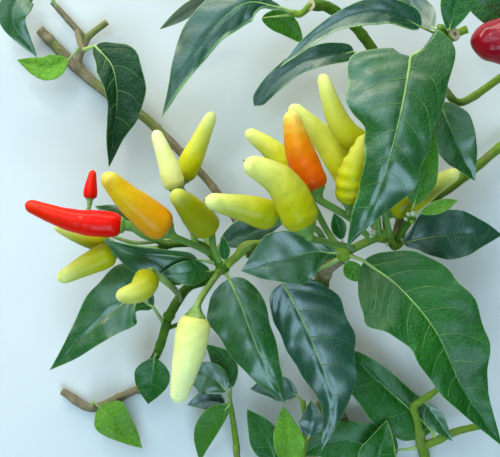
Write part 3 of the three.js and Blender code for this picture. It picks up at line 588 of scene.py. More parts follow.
# Pods, each from its stalk end through its middle to its tip
PODS = {
    "red_long": pod(
        (123, 225, 58), (75, 221, 59), (25, 204, 60), width=27,
        stalk=[(143, 235, 55), (164, 243, 47)], skin="red",
    ),
    "orange_left": pod(
        (167, 231, 70), (135, 205, 76), (103, 174, 82), width=34,
        stalk=[(189, 243, 60), (210, 253, 45)], skin="gold",
    ),
    "green_behind_red": pod(
        (107, 243, 38), (82, 236, 38), (54, 225, 38), width=21,
        stalk=[(148, 249, 38), (171, 245, 45)],
    ),
    "green_low_left": pod(
        (114, 252, 50), (87, 264.5, 50), (57.5, 280, 50), width=25,
        stalk=[(138, 256, 48), (161, 251, 45)],
    ),
    "green_bent": pod(
        (149, 276, 62), (139, 291, 70), (116, 297, 70), width=26,
        stalk=[(164, 280, 57), (176, 291, 45), (179, 300, 29)],
    ),
    "pale_upper": pod(
        (176, 190, 44), (167, 162, 44), (155, 130, 45), width=22,
        stalk=[(188, 215, 43), (196, 245, 44.5)], skin="pale",
    ),
    "green_upper": pod(
        (182, 180, 29), (197, 148, 29), (213, 112, 32), width=23,
        stalk=[(198, 214, 32), (206, 238, 33), (209, 252, 44.5)], skin="light",
    ),
    "green_toward": pod(
        (208, 229, 49), (192.5, 211, 63), (174, 193, 78), width=32,
        stalk=[(214, 249, 47), NODE_A], skin="olive",
    ),
    "green_centre": pod(
        (277, 217, 64), (244, 208, 68), (205, 200, 74), width=31,
        stalk=[(300, 224, 58), (316, 229, 48), (323, 239, 40), (325, 248, 37.5)],
    ),
    "pale_hanging": pod(
        (195.5, 315, 66), (187.5, 359, 66), (177, 403, 62), width=34,
        stalk=[(204, 293, 62), NODE_A], skin="pale",
    ),
    "green_mid_left": pod(
        (297, 180, 44), (273, 151, 46), (246, 131, 48), width=25,
        stalk=[(314, 206, 40), (328, 232, 36), NODE_B], skin="light",
    ),
    "orange_mid": pod(
        (316, 191, 61), (299.5, 151, 62), (290, 110.5, 62), width=33,
        stalk=[(350, 218, 51), (364, 232, 46), (373, 241, 42)], skin="orange",
    ),
    "green_large": pod(
        (306, 229, 80), (282.5, 184, 82), (244.5, 161, 84), width=38,
        stalk=[(326, 242, 63), (345, 246, 52), (352, 248, 42)],
    ),
    "green_mid_right": pod(
        (357, 190, 38), (330, 147, 38), (290, 105.5, 42), width=31,
        stalk=[(361, 208, 33), (373, 225, 33), (380, 237, 40)], skin="light",
    ),
    "green_high": pod(
        (372, 155, 47), (340.5, 124, 50), (321.5, 74, 48), width=26,
        stalk=[(380, 180, 50), (385, 211, 53), (391, 241, 42.3)],
    ),
    "wrinkled": pod(
        (351, 204, 58), (354, 172, 61.5), (369, 134, 60.5), width=33,
        stalk=[(366, 208, 53), (376, 214, 52), (379, 234, 44)], skin="wrinkled", lumps=2.0,
    ),
    "green_right": pod(
        (392, 212, 42), (424, 192, 47), (459, 171, 50), width=27,
        stalk=[(386, 229, 36), (388, 240, 42)],
    ),
    "red_right": pod(
        (533, 38, 50), (505, 40.5, 52), (470.5, 42, 54), width=58,
        stalk=[(543, 40, 36), (535, 56, 24)], skin="crimson",
    ),
    "red_small": pod(
        (90, 199, 26), (91, 186, 26), (93, 170, 26), width=14,
        stalk=[(90, 222, 27), (130, 242, 31), (170, 240, 34), (182, 244, 45)], thick=0.9, skin="red",
    ),
}

# Leaf tones: the name, the highest tone that takes it, and the shine of its wax
LEAF_TONES = (
    ("dim", 0.05, 0.15), ("deep", 0.22, 0.95), ("dark", 0.44, 0.95),
    ("mid", 0.66, 0.25), ("bright", 0.88, 0.1), ("lime", 1.0, 0.08),
)

# Skins of pods, and the record's slot for each
POD_SLOTS = {
    "yellow": "pod_yellow", "light": "pod_yellow", "olive": "pod_yellow", "wrinkled": "pod_yellow",
    "pale": "pod_pale", "gold": "pod_orange", "orange": "pod_orange", "red": "pod_red", "crimson": "pod_red",
}
PALE_STALKS = ("pale_hanging", "green_bent", "red_small", "red_right")
POINTED_PODS = ("green_large", "green_centre")

# Buds: where each starts and ends, its radius in millimetres, and how far its petals show
BUDS = (
    ((411, 217, 61), (407, 213, 64.5), 1.2, 0.2),
    ((411, 217, 61), (414, 212, 65.0), 1.3, 0.3),
    ((411, 218, 61), (419, 213, 63.5), 1.1, 0.3),
    ((410, 219, 61), (404, 219, 63.0), 1.0, 0.2),
    ((412, 219, 61), (412, 223, 64.0), 1.1, 0.0),
    ((376, 236, 43), (373, 231, 50.0), 1.4, 0.6),
    ((378, 236, 43), (369, 236, 47.0), 1.0, 0.3),
    ((446, 36, 58), (439, 26, 66), 2.2, 0.0),
    ((263, 244, 43.5), (261, 240, 46), 1.2, 0.0),
    ((384, 239, 44), (388, 246, 48), 1.0, 0.3),
)

# Lights: a name, a place and a size in metres, a power in watts and a colour
LIGHTS = (
    ("top low", (0.0, 1.35, 0.5), (1.4, 0.6), 16.5, (0.95, 1.0, 0.86)),
    ("top left low", (-0.95, 1.0, 0.5), (1.0, 0.6), 13.5, (1.0, 1.0, 0.9)),
    ("sky", (-0.15, 0.75, 1.2), (0.9, 0.9), 4.0, (0.50, 0.76, 1.0)),
    ("left sky", (-0.65, 0.35, 1.15), (0.9, 0.9), 6.2, (0.56, 0.82, 1.0)),
    ("near sky", (0.05, -0.85, 1.15), (0.9, 0.9), 15.5, (0.52, 0.78, 1.0)),
    ("overhead", (0.0, 0.1, 1.55), (0.9, 0.9), 1.6, (0.67, 0.96, 1.0)),
    ("bright gap", (-0.3, 0.85, 0.95), (0.1, 0.1), 1.9, (1.0, 0.98, 0.9)),
)
ROOM_COLOUR = (0.80, 0.92, 1.0)
ROOM_STRENGTH = 0.04
FLOOR_REACH = 3.0
SENSOR_WIDTH = 36.0


# Places and smooth lines


def unit(vectors):
    """The same vectors, each one long."""
    vectors = np.asarray(vectors, float)
    lengths = np.linalg.norm(vectors, axis=-1, keepdims=True)
    return vectors / np.maximum(lengths, 1e-9)


def span(columns, height):
    """A width in picture columns as millimetres at a height."""
    return columns * COLUMN * (EYE_HEIGHT - height) / (EYE_HEIGHT - PICTURE_HEIGHT)


def spot(place):
    """The place in space of a picture column, a picture row and a height, in millimetres."""
    column, row, height = place
    across = span(column - MIDDLE_COLUMN, height) + SHIFT_ALONG
    up = span(MIDDLE_ROW - row, height) + SHIFT_ACROSS
    return np.array([across, up, height], float)


def spots(places):
    """The places in space of a list of picture places."""
    return np.array([spot(place) for place in places])


def along(points, shares):
    """The points at shares of the way along a smooth line through the given points."""
    spans = len(points) - 1
    place = np.clip(np.atleast_1d(shares), 0, 1) * spans
    index = np.minimum(place.astype(int), spans - 1)
    part = (place - index)[:, None]
    padded = np.vstack([2 * points[0] - points[1], points, 2 * points[-1] - points[-2]])
    before, start, end, after = (padded[index + step] for step in range(4))
    square = part ** 2
    cube = part ** 3
    return (
        before * (-cube + 2 * square - part) / 2
        + start * (3 * cube - 5 * square + 2) / 2
        + end * (-3 * cube + 4 * square + part) / 2
        + after * (cube - square) / 2
    )


def path_length(points):
    """The length of a line of points."""
    return float(np.linalg.norm(np.diff(points, axis=0), axis=1).sum())


def eased(stations, values, at):
    """A smooth line through values at stations that never swings past them."""
    stations = np.asarray(stations, float)
    values = np.asarray(values, float)
    steps = np.diff(stations)
    slopes = np.diff(values) / steps
    lean = np.zeros(len(values))
    lean[0] = slopes[0]
    lean[-1] = slopes[-1]
    for index in range(1, len(values) - 1):
        if slopes[index - 1] * slopes[index] > 0:
            near = 2 * steps[index] + steps[index - 1]
            far = steps[index] + 2 * steps[index - 1]
            lean[index] = (near + far) / (near / slopes[index - 1] + far / slopes[index])
    at = np.clip(at, stations[0], stations[-1])
    index = np.clip(np.searchsorted(stations, at, side="right") - 1, 0, len(steps) - 1)
    part = (at - stations[index]) / steps[index]
    square = part ** 2
    cube = part ** 3
    return (
        (2 * cube - 3 * square + 1) * values[index]
        + (cube - 2 * square + part) * steps[index] * lean[index]
        + (3 * square - 2 * cube) * values[index + 1]
        + (cube - square) * steps[index] * lean[index + 1]
    )


def smooth(share):
    """A share from nought to one, eased at both ends."""
    share = np.clip(share, 0, 1)
    return share * share * (3 - 2 * share)


def ripple(points, seed, size):
    """A gentle, fixed unevenness between about -1 and 1, with bumps of a size in millimetres."""
    chance = np.random.default_rng(seed)
    total = np.zeros(np.shape(points)[:-1])
    waves = 7
    for _ in range(waves):
        direction = unit(chance.normal(size=3)) * (2 * math.pi / size) * chance.uniform(0.6, 1.5)
        total += np.sin(points @ direction + chance.uniform(0, 2 * math.pi))
    return total / math.sqrt(waves)


def frames(centres):
    """For each point of a line, the way ahead and two ways to its side that never twist."""
    centres = np.asarray(centres, float)
    ahead = unit(np.gradient(centres, axis=0))
    start = np.array([0.0, 0.0, 1.0]) if abs(ahead[0][2]) < 0.9 else np.array([0.0, 1.0, 0.0])
    sides = np.zeros_like(centres)
    for index, way in enumerate(ahead):
        start = start - way * (start @ way)
        start = start / np.linalg.norm(start)
        sides[index] = start
    return ahead, sides, np.cross(ahead, sides)


# Meshes


class Shell:
    """Gathers closed surfaces of one kind into one mesh, with a slot for each face."""

    def __init__(self):
        self.points = []
        self.quads = []
        self.quad_uvs = []
        self.quad_slots = []
        self.count = 0
        self.numbers = {}

    def add_points(self, points, **numbers):
        """Adds points with numbers of their own, and gives the index of the first."""
        points = np.asarray(points, float).reshape(-1, 3)
        first = self.count
        for name, values in numbers.items():
            self.numbers.setdefault(name, []).append((first, np.asarray(values, float).reshape(-1)))
        self.points.append(points)
        self.count += len(points)
        return first

    def add_faces(self, corners, uvs, slot):
        """Adds faces with four corners each. A triangle gives its last corner twice."""
        corners = np.asarray(corners, int).reshape(-1, 4)
        self.quads.append(corners)
        self.quad_uvs.append(np.asarray(uvs, float).reshape(-1, 4, 2))
        self.quad_slots.append(np.full(len(corners), slot) if np.isscalar(slot) else np.asarray(slot))

    def add_grid(self, grid, uvs, slot=0, wrap=False, flip=False, **numbers):
        """Adds a grid of points and the faces between them. Gives the index of each point."""
        rows, columns = grid.shape[:2]
        first = self.add_points(grid, **numbers)
        index = first + np.arange(rows * columns).reshape(rows, columns)
        ring = np.concatenate([index, index[:, :1]], axis=1) if wrap else index
        corners = np.stack([ring[:-1, :-1], ring[:-1, 1:], ring[1:, 1:], ring[1:, :-1]], axis=-1)
        uv_corners = np.stack([uvs[:-1, :-1], uvs[:-1, 1:], uvs[1:, 1:], uvs[1:, :-1]], axis=-2)
        if flip:
            corners = corners[..., ::-1]
            uv_corners = uv_corners[..., ::-1, :]
        self.add_faces(corners, uv_corners, slot)
        return index

    def add_fan(self, ring, pole, uv_ring, uv_pole, slot=0, flip=False, **numbers):
        """Closes a ring of points to one point."""
        tip = self.add_points(pole, **numbers)
        here = np.asarray(ring)
        on = np.roll(here, -1)
        peak = np.full(len(here), tip)
        around = np.stack([uv_ring[:-1], uv_ring[1:]], axis=1)
        middle = np.repeat(np.asarray(uv_pole, float)[None, None, :], len(here), axis=0)
        if flip:
            corners = np.stack([on, here, peak, peak], axis=-1)
            uvs = np.concatenate([around[:, ::-1], middle, middle], axis=1)
        else:
            corners = np.stack([here, on, peak, peak], axis=-1)
            uvs = np.concatenate([around, middle, middle], axis=1)
        self.add_faces(corners, uvs, slot)

    def make(self, name, materials):
        """Makes the mesh object, in metres, and puts it in the scene."""
        points = np.concatenate(self.points) * MILLIMETRE
        quads = np.concatenate(self.quads)
        uvs = np.concatenate(self.quad_uvs)
        slots = np.concatenate(self.quad_slots)
        kept = np.ones(quads.shape, bool)
        kept[:, 3] = quads[:, 3] != quads[:, 2]
        totals = kept.sum(axis=1)
        starts = np.concatenate([[0], np.cumsum(totals)[:-1]])
        mesh = bpy.data.meshes.new(name)
        mesh.vertices.add(len(points))
        mesh.vertices.foreach_set("co", points.ravel())
        mesh.loops.add(int(totals.sum()))
        mesh.loops.foreach_set("vertex_index", quads[kept].astype(np.int32))
        mesh.polygons.add(len(quads))
        mesh.polygons.foreach_set("loop_start", starts.astype(np.int32))
        mesh.polygons.foreach_set("material_index", slots.astype(np.int32))
        layer = mesh.uv_layers.new(name="UVMap")
        layer.data.foreach_set("uv", uvs[kept].ravel())
        for number, parts in self.numbers.items():
            values = np.zeros(len(points))
            for first, part in parts:
                values[first:first + len(part)] = part
            attribute = mesh.attributes.new(number, "FLOAT", "POINT")
            attribute.data.foreach_set("value", values)
        mesh.update(calc_edges=True)
        mesh.validate()
        mesh.shade_smooth()
        piece = bpy.data.objects.new(name, mesh)
        bpy.context.scene.collection.objects.link(piece)
        for material in materials:
            mesh.materials.append(material)
        return piece


def add_round(shell, centres, radii, slot=0, start_reach=0.0, end_reach=0.0, **numbers):
    """Adds a closed round body, with a row of radii for each centre. Gives its grid of points."""
    centres = np.asarray(centres, float)
    rings, sides = radii.shape
    ahead, side, other = frames(centres)
    angles = np.linspace(0, 2 * math.pi, sides, endpoint=False)
    spokes = side[:, None] * np.cos(angles)[None, :, None] + other[:, None] * np.sin(angles)[None, :, None]
    grid = centres[:, None] + spokes * radii[..., None]
    lengths = np.concatenate([[0], np.cumsum(np.linalg.norm(np.diff(centres, axis=0), axis=1))])
    around = np.linspace(0, 1, sides + 1)
    share = lengths / lengths[-1]
    uvs = np.stack(np.broadcast_arrays(around[None, :], share[:, None]), axis=-1)
    fields = {}
    for name, values in numbers.items():
        column = np.full((rings, 1), values) if np.isscalar(values) else np.reshape(values, (rings, -1))
        fields[name] = np.broadcast_to(column, (rings, sides))
    index = shell.add_grid(grid, uvs, slot, wrap=True, **fields)
    first = {name: values[0, :1] for name, values in fields.items()}
    last = {name: values[-1, :1] for name, values in fields.items()}
    shell.add_fan(index[0], centres[0] - ahead[0] * start_reach, uvs[0], (0.5, 0), slot, flip=True, **first)
    shell.add_fan(index[-1], centres[-1] + ahead[-1] * end_reach, uvs[-1], (0.5, 1), slot, **last)
    return grid


def dome_shares(count, power=1.0):
    """Shares that lie close together near both ends and wide apart in the middle."""
    share = np.linspace(0, 1, count)
    return share - power * 0.12 * np.sin(2 * math.pi * share)


def dress(piece, slot_name, *nodes):
    """Lets a piece ride on the body and stand for its nodes, which are hidden. The slot name is not used."""
    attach(piece, "root")
    if nodes:
        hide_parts(*nodes)
    return piece


# Geometry Nodes


def socket_of(group, name):
    """The identifier of a group's input socket that has a name."""
    for item in group.interface.items_tree:
        if item.item_type == "SOCKET" and item.in_out == "INPUT" and item.name == name:
            return item.identifier
    raise KeyError(f"{group.name} has no input named {name}")


class Tree:
    """A Geometry Nodes group that is built up one node at a time."""

    def __init__(self, name, inputs):
        self.group = bpy.data.node_groups.new(name, "GeometryNodeTree")
        self.group.interface.new_socket("Geometry", in_out="INPUT", socket_type="NodeSocketGeometry")
        for label, kind, default in inputs:
            item = self.group.interface.new_socket(label, in_out="INPUT", socket_type=kind)
            if default is not None:
                item.default_value = default
        self.group.interface.new_socket("Geometry", in_out="OUTPUT", socket_type="NodeSocketGeometry")
        self.entry = self.group.nodes.new("NodeGroupInput")

    def node(self, kind, inputs=None, **settings):
        """Adds a node, sets it up, and fills its inputs with values or with other sockets."""
        made = self.group.nodes.new(kind)
        for name, value in settings.items():
            setattr(made, name, value)
        for key, value in (inputs or {}).items():
            if isinstance(value, bpy.types.NodeSocket):
                self.group.links.new(value, made.inputs[key])
            else:
                made.inputs[key].default_value = value
        return made

    def given(self, name):
        """The group's own input socket that has a name."""
        return self.entry.outputs[name]

    def math(self, operation, first, second=0.0):
        """The result of one sum."""
        return self.node("ShaderNodeMath", {0: first, 1: second}, operation=operation).outputs[0]

    def close(self, geometry):
        """Ends the tree in real geometry with the given material."""
        real = self.node("GeometryNodeRealizeInstances", {"Geometry": geometry})
        painted = self.node(
            "GeometryNodeSetMaterial", {"Geometry": real.outputs[0], "Material": self.given("Material")}
        )
        end = self.group.nodes.new("NodeGroupOutput")
        self.group.links.new(painted.outputs[0], end.inputs[0])
        return self.group


def tube_tree():
    """Tubes along lines of points, with a thickness at each point and ridges that run along."""
    tree = Tree("Tapering tubes", [
        ("Sides", "NodeSocketInt", 8), ("Ridges", "NodeSocketInt", 5),
        ("Ridge Depth", "NodeSocketFloat", 0.0), ("Thickness Scale", "NodeSocketFloat", 1.0),
        ("Material", "NodeSocketMaterial", None),
    ])
    line = tree.node("GeometryNodeMeshToCurve", {"Mesh": tree.given("Geometry")})
    circle = tree.node(
        "GeometryNodeCurvePrimitiveCircle", {"Resolution": tree.given("Sides"), "Radius": 1.0}, mode="RADIUS"
    )
    turn = tree.math("DIVIDE", tree.node("GeometryNodeInputIndex").outputs[0], tree.given("Sides"))
    turn = tree.math("MULTIPLY", turn, 2 * math.pi)
    turn = tree.math("MULTIPLY", turn, tree.given("Ridges"))
    swell = tree.math("MULTIPLY", tree.math("COSINE", turn), tree.given("Ridge Depth"))
    swell = tree.math("ADD", swell, 1.0)
    place = tree.node("GeometryNodeInputPosition").outputs[0]
    moved = tree.node("ShaderNodeVectorMath", {0: place, "Scale": swell}, operation="SCALE").outputs[0]
    outline = tree.node("GeometryNodeSetPosition", {"Geometry": circle.outputs[0], "Position": moved})
    thickness = tree.node("GeometryNodeInputNamedAttribute", {"Name": "thickness"}, data_type="FLOAT")
    scale = tree.math("MULTIPLY", thickness.outputs[0], tree.given("Thickness Scale"))
    tube = tree.node("GeometryNodeCurveToMesh", {
        "Curve": line.outputs[0], "Profile Curve": outline.outputs[0], "Scale": scale, "Fill Caps": True,
    })
    soft = tree.node("GeometryNodeSetShadeSmooth", {"Geometry": tube.outputs[0], "Shade Smooth": True})
    return tree.close(soft.outputs[0])


def speck_tree():
    """Small flattened specks scattered over a surface, each lying along it."""
    tree = Tree("Scattered specks", [
        ("Density", "NodeSocketFloat", 1000.0), ("Speck Radius", "NodeSocketFloat", 0.0003),
        ("Flatness", "NodeSocketFloat", 0.4), ("Stretch", "NodeSocketFloat", 1.8),
        ("Seed", "NodeSocketInt", 1), ("Material", "NodeSocketMaterial", None),
    ])
    points = tree.node("GeometryNodeDistributePointsOnFaces", {
        "Mesh": tree.given("Geometry"), "Density": tree.given("Density"), "Seed": tree.given("Seed"),
    })
    speck = tree.node("GeometryNodeMeshIcoSphere", {"Radius": tree.given("Speck Radius"), "Subdivisions": 2})
    size = tree.node(
        "FunctionNodeRandomValue", {2: 0.5, 3: 1.3, "Seed": tree.given("Seed")}, data_type="FLOAT"
    )
    factor = size.outputs[1]
    scale = tree.node("ShaderNodeCombineXYZ", {
        "X": tree.math("MULTIPLY", factor, tree.given("Stretch")),
        "Y": factor,
        "Z": tree.math("MULTIPLY", factor, tree.given("Flatness")),
    })
    placed = tree.node("GeometryNodeInstanceOnPoints", {
        "Points": points.outputs["Points"], "Instance": speck.outputs[0],
        "Rotation": points.outputs["Rotation"], "Scale": scale.outputs[0],
    })
    real = tree.node("GeometryNodeRealizeInstances", {"Geometry": placed.outputs[0]})
    soft = tree.node("GeometryNodeSetShadeSmooth", {"Geometry": real.outputs[0], "Shade Smooth": True})
    return tree.close(soft.outputs[0])


def grown(source, tree, name, **inputs):
    """The plain mesh that a Geometry Nodes tree makes from a source object, whose modifier is then taken off
    again.
    """
    modifier = source.modifiers.new("Growth", "NODES")
    modifier.node_group = tree
    for label, value in inputs.items():
        modifier[socket_of(tree, label.replace("_", " "))] = value
    evaluated = source.evaluated_get(bpy.context.evaluated_depsgraph_get())
    mesh = bpy.data.meshes.new_from_object(evaluated)
    mesh.name = name
    source.modifiers.remove(modifier)
    piece = bpy.data.objects.new(name, mesh)
    bpy.context.scene.collection.objects.link(piece)
    return piece


def line_object(name, lines):
    """A mesh of lines of points, each line with a thickness in millimetres at its points."""
    points = np.concatenate([line for line, _ in lines]) * MILLIMETRE
    thickness = np.concatenate([np.broadcast_to(radii, len(line)) for line, radii in lines]) * MILLIMETRE
    edges = []
    first = 0
    for line, _ in lines:
        edges += [(first + step, first + step + 1) for step in range(len(line) - 1)]
        first += len(line)
    mesh = bpy.data.meshes.new(name)
    mesh.from_pydata(points.tolist(), edges, [])
    attribute = mesh.attributes.new("thickness", "FLOAT", "POINT")
    attribute.data.foreach_set("value", thickness)
    piece = bpy.data.objects.new(name, mesh)
    bpy.context.scene.collection.objects.link(piece)
    return piece


def tubes(name, lines, material, sides=8, ridges=5, depth=0.0):
    """One piece of tapering tubes along lines of points."""
    source = line_object(f"{name}_lines", lines)
    tree = bpy.data.node_groups.get("Tapering tubes") or tube_tree()
    piece = grown(source, tree, name, Sides=sides, Ridges=ridges, Ridge_Depth=depth, Material=material)
    bpy.data.objects.remove(source)
    return piece


# Materials


class Shading:
    """A material that is built up one node at a time round one Principled shader."""

    def __init__(self, name, sockets):
        self.material = bpy.data.materials.new(name)
        self.material.use_nodes = True
        self.tree = self.material.node_tree
        self.tree.nodes.clear()
        self.shader = self.node("ShaderNodeBsdfPrincipled", sockets)
        self.place = self.node("ShaderNodeTexCoord").outputs["Object"]
        end = self.node("ShaderNodeOutputMaterial")
        self.tree.links.new(self.shader.outputs[0], end.inputs["Surface"])

    def node(self, kind, inputs=None, **settings):
        """Adds a node, sets it up, and fills its inputs with values or with other sockets."""
        made = self.tree.nodes.new(kind)
        for name, value in settings.items():
            setattr(made, name, value)
        for key, value in (inputs or {}).items():
            if isinstance(value, bpy.types.NodeSocket):
                self.tree.links.new(value, made.inputs[key])
            elif isinstance(value, tuple) and len(value) == 3 and len(made.inputs[key].default_value) == 4:
                made.inputs[key].default_value = (*value, 1.0)
            else:
                made.inputs[key].default_value = value
        return made

    def put(self, name, socket):
        """Feeds one of the shader's inputs."""
        self.tree.links.new(socket, self.shader.inputs[name])

    def math(self, operation, first, second=0.0):
        """The result of one sum."""
        return self.node("ShaderNodeMath", {0: first, 1: second}, operation=operation).outputs[0]

    def mix(self, factor, first, second):
        """Two colours mixed by a factor."""
        made = self.node("ShaderNodeMix", {0: factor, 6: first, 7: second}, data_type="RGBA")
        return made.outputs[2]

    def band(self, value, low, high, at_low=0.0, at_high=1.0):
        """A value moved smoothly from one range to another."""
        made = self.node("ShaderNodeMapRange", {
            "Value": value, "From Min": low, "From Max": high, "To Min": at_low, "To Max": at_high,
        }, interpolation_type="SMOOTHSTEP")
        return made.outputs["Result"]

    def ramp(self, value, stops):
        """A colour that runs through stops of a share and a colour each."""
        made = self.node("ShaderNodeValToRGB", {"Fac": value})
        elements = made.color_ramp.elements
        while len(elements) < len(stops):
            elements.new(0.5)
        for element, (share, colour) in zip(elements, stops):
            element.position = share
            element.color = (*colour, 1.0)
        return made.outputs["Color"]

    def noise(self, scale, detail=3.0, roughness=0.55, vector=None, distortion=0.0):
        """Cloudy unevenness, from nought to one."""
        made = self.node("ShaderNodeTexNoise", {
            "Vector": vector or self.place, "Scale": scale, "Detail": detail,
            "Roughness": roughness, "Distortion": distortion,
        })
        return made.outputs["Fac"]

    def cells(self, scale, randomness=0.9, feature="DISTANCE_TO_EDGE"):
        """A net of cells: the distance from its threads, or from its cells' middles."""
        made = self.node("ShaderNodeTexVoronoi", {
            "Vector": self.place, "Scale": scale, "Randomness": randomness,
        }, feature=feature)
        return made.outputs["Distance"]

    def bump(self, height, strength, distance, normal=None):
        """Raises and lowers the surface by a height, in metres at full strength."""
        inputs = {"Height": height, "Strength": strength, "Distance": distance}
        if normal is not None:
            inputs["Normal"] = normal
        return self.node("ShaderNodeBump", inputs).outputs[0]

    def attribute(self, name):
        """A number that the piece carries at each of its points."""
        return self.node("ShaderNodeAttribute", attribute_name=name).outputs["Fac"]

    def uv(self):
        """The two shares of the piece's own UV map."""
        flat = self.node("ShaderNodeUVMap", uv_map="UVMap").outputs[0]
        parts = self.node("ShaderNodeSeparateXYZ", {0: flat})
        return parts.outputs[0], parts.outputs[1]


def times(colour, factor):
    """A colour made lighter or darker."""
    return tuple(min(1.0, part * factor) for part in colour)


def blended(first, second, share):
    """A colour between two."""
    return tuple(a + (b - a) * share for a, b in zip(first, second))


def leaf_skin(name, colour, rim, shine):
    """The waxy upper side of a blade: mottled green, a faint net of veins and a thin pale rim."""
    look = Shading(name, {
        "IOR": 1.45, "Specular IOR Level": 0.15,
        "Coat Weight": shine, "Coat Roughness": 0.34, "Coat IOR": 1.75,
        "Subsurface Weight": 0.05, "Subsurface Radius": (0.3, 1.0, 0.15), "Subsurface Scale": 0.0012,
    })
    cloud = look.noise(26, 4, 0.6)
    mottle = look.noise(260, 4, 0.6)
    net = look.cells(640, 0.9)
    base = look.mix(look.band(cloud, 0.32, 0.7), times(colour, 0.74), times(colour, 1.28))
    base = look.mix(look.band(mottle, 0.4, 0.75, 0.0, 0.25), base, blended(colour, (0.05, 0.22, 0.03), 0.4))
    thread = look.band(net, 0.0, 0.08, 1.0, 0.0)
    base = look.mix(look.math("MULTIPLY", thread, 0.14), base, blended(colour, (0.08, 0.30, 0.05), 0.6))
    speckle = look.band(look.noise(1000, 3, 0.6), 0.35, 0.65, 0.0, 0.55)
    base = look.mix(speckle, base, times(colour, 0.62))
    marks = look.band(look.noise(700, 2, 0.5), 0.76, 0.81, 0.0, 0.4)
    base = look.mix(marks, base, (0.20, 0.24, 0.09))
    edge = look.band(look.attribute("rim"), 0.5, 1.0)
    base = look.mix(look.math("MULTIPLY", edge, 0.85), base, rim)
    look.put("Base Color", base)
    look.put("Roughness", look.band(look.noise(110, 3), 0.3, 0.75, 0.42, 0.56))
    fine = look.bump(look.noise(1100, 3, 0.6), 1.0, 0.0003)
    netted = look.bump(look.band(net, 0.0, 0.35), 0.6, 0.0004, fine)
    netted = look.bump(look.band(look.cells(300, 0.9), 0.0, 0.3), 0.45, 0.0006, netted)
    look.put("Normal", look.bump(look.noise(130, 3, 0.5), 0.2, 0.0007, netted))
    return look.material


def leaf_underside(name, colour):
    """The duller, paler lower side of a blade, with its net of veins standing proud."""
    look = Shading(name, {"IOR": 1.42, "Specular IOR Level": 0.35})
    net = look.cells(330, 0.85)
    thread = look.band(net, 0.0, 0.12, 1.0, 0.0)
    base = look.mix(look.band(look.noise(60, 4), 0.3, 0.7), times(colour, 0.85), times(colour, 1.15))
    base = look.mix(look.math("MULTIPLY", thread, 0.45), base, times(colour, 1.7))
    look.put("Base Color", base)
    look.put("Roughness", look.band(look.noise(200, 2), 0.3, 0.7, 0.5, 0.64))
    look.put("Normal", look.bump(look.math("SUBTRACT", 1.0, look.band(net, 0.0, 0.3)), 0.5, 0.0003))
    return look.material


def vein_skin(name, colour):
    """Pale midribs, side veins and leaf stalks."""
    look = Shading(name, {"IOR": 1.45, "Coat Weight": 0.1, "Coat Roughness": 0.3, "Specular IOR Level": 0.25})
    base = look.mix(look.band(look.noise(120, 3), 0.3, 0.7), times(colour, 0.72), times(colour, 1.2))
    base = look.mix(look.band(look.noise(900, 2), 0.45, 0.8, 0.0, 0.4), base, times(colour, 0.6))
    look.put("Base Color", base)
    look.put("Roughness", look.band(look.noise(300, 2), 0.3, 0.7, 0.4, 0.55))
    look.put("Normal", look.bump(look.noise(1400, 2), 0.3, 0.00015))
    return look.material


def pod_skin(name, stops, blush, gloss=0.16):
    """A waxy pod skin that changes colour from the stalk end to the tip."""
    look = Shading(name, {
        "IOR": 1.46, "Specular IOR Level": 0.06, "Coat Weight": gloss, "Coat Roughness": 0.15,
        "Subsurface Weight": 0.25, "Subsurface Radius": (1.0, 0.75, 0.15), "Subsurface Scale": 0.003,
    })
    share = look.uv()[1]
    cloud = look.noise(75, 3, 0.55, distortion=0.6)
    shifted = look.math("ADD", share, look.math("MULTIPLY", look.math("SUBTRACT", cloud, 0.5), 0.30))
    base = look.ramp(shifted, stops)
    base = look.mix(look.band(look.noise(160, 4, 0.6), 0.45, 0.8, 0.0, 0.55), base, blush)
    dots = look.band(look.cells(1100, 1.0, "F1"), 0.10, 0.22, 1.0, 0.0)
    sparse = look.band(look.noise(300, 2), 0.5, 0.62)
    seen = look.math("MULTIPLY", look.math("MULTIPLY", dots, sparse), 0.25)
    base = look.mix(seen, base, times(stops[-1][1], 1.25))
    mark = look.band(look.noise(520, 2, 0.4), 0.79, 0.83, 0.0, 0.35)
    base = look.mix(mark, base, times(blush, 0.35))
    look.put("Base Color", base)
    look.put("Roughness", look.band(look.noise(220, 3), 0.3, 0.7, 0.34, 0.46))
    fine = look.bump(look.noise(1300, 2), 0.12, 0.0001)
    look.put("Normal", look.bump(look.noise(170, 3, 0.5), 0.30, 0.0007, fine))
    return look.material


def stalk_skin(name, dark, light):
    """Pod stalks and their caps: ribbed green that pales towards the joints."""
    look = Shading(name, {
        "IOR": 1.45, "Specular IOR Level": 0.25, "Coat Weight": 0.1, "Coat Roughness": 0.25,
    })
    cloud = look.band(look.noise(110, 3, 0.6), 0.35, 0.7)
    base = look.mix(cloud, dark, light)
    base = look.mix(look.band(look.noise(700, 3), 0.5, 0.8, 0.0, 0.5), base, times(light, 1.25))
    rim = look.math("MULTIPLY", look.attribute("rim"), 0.55)
    base = look.mix(rim, base, blended(light, (0.45, 0.42, 0.08), 0.5))
    look.put("Base Color", base)
    look.put("Roughness", look.band(look.noise(260, 3), 0.3, 0.7, 0.34, 0.5))
    look.put("Normal", look.bump(look.noise(900, 3, 0.6), 0.4, 0.0002))
    return look.material


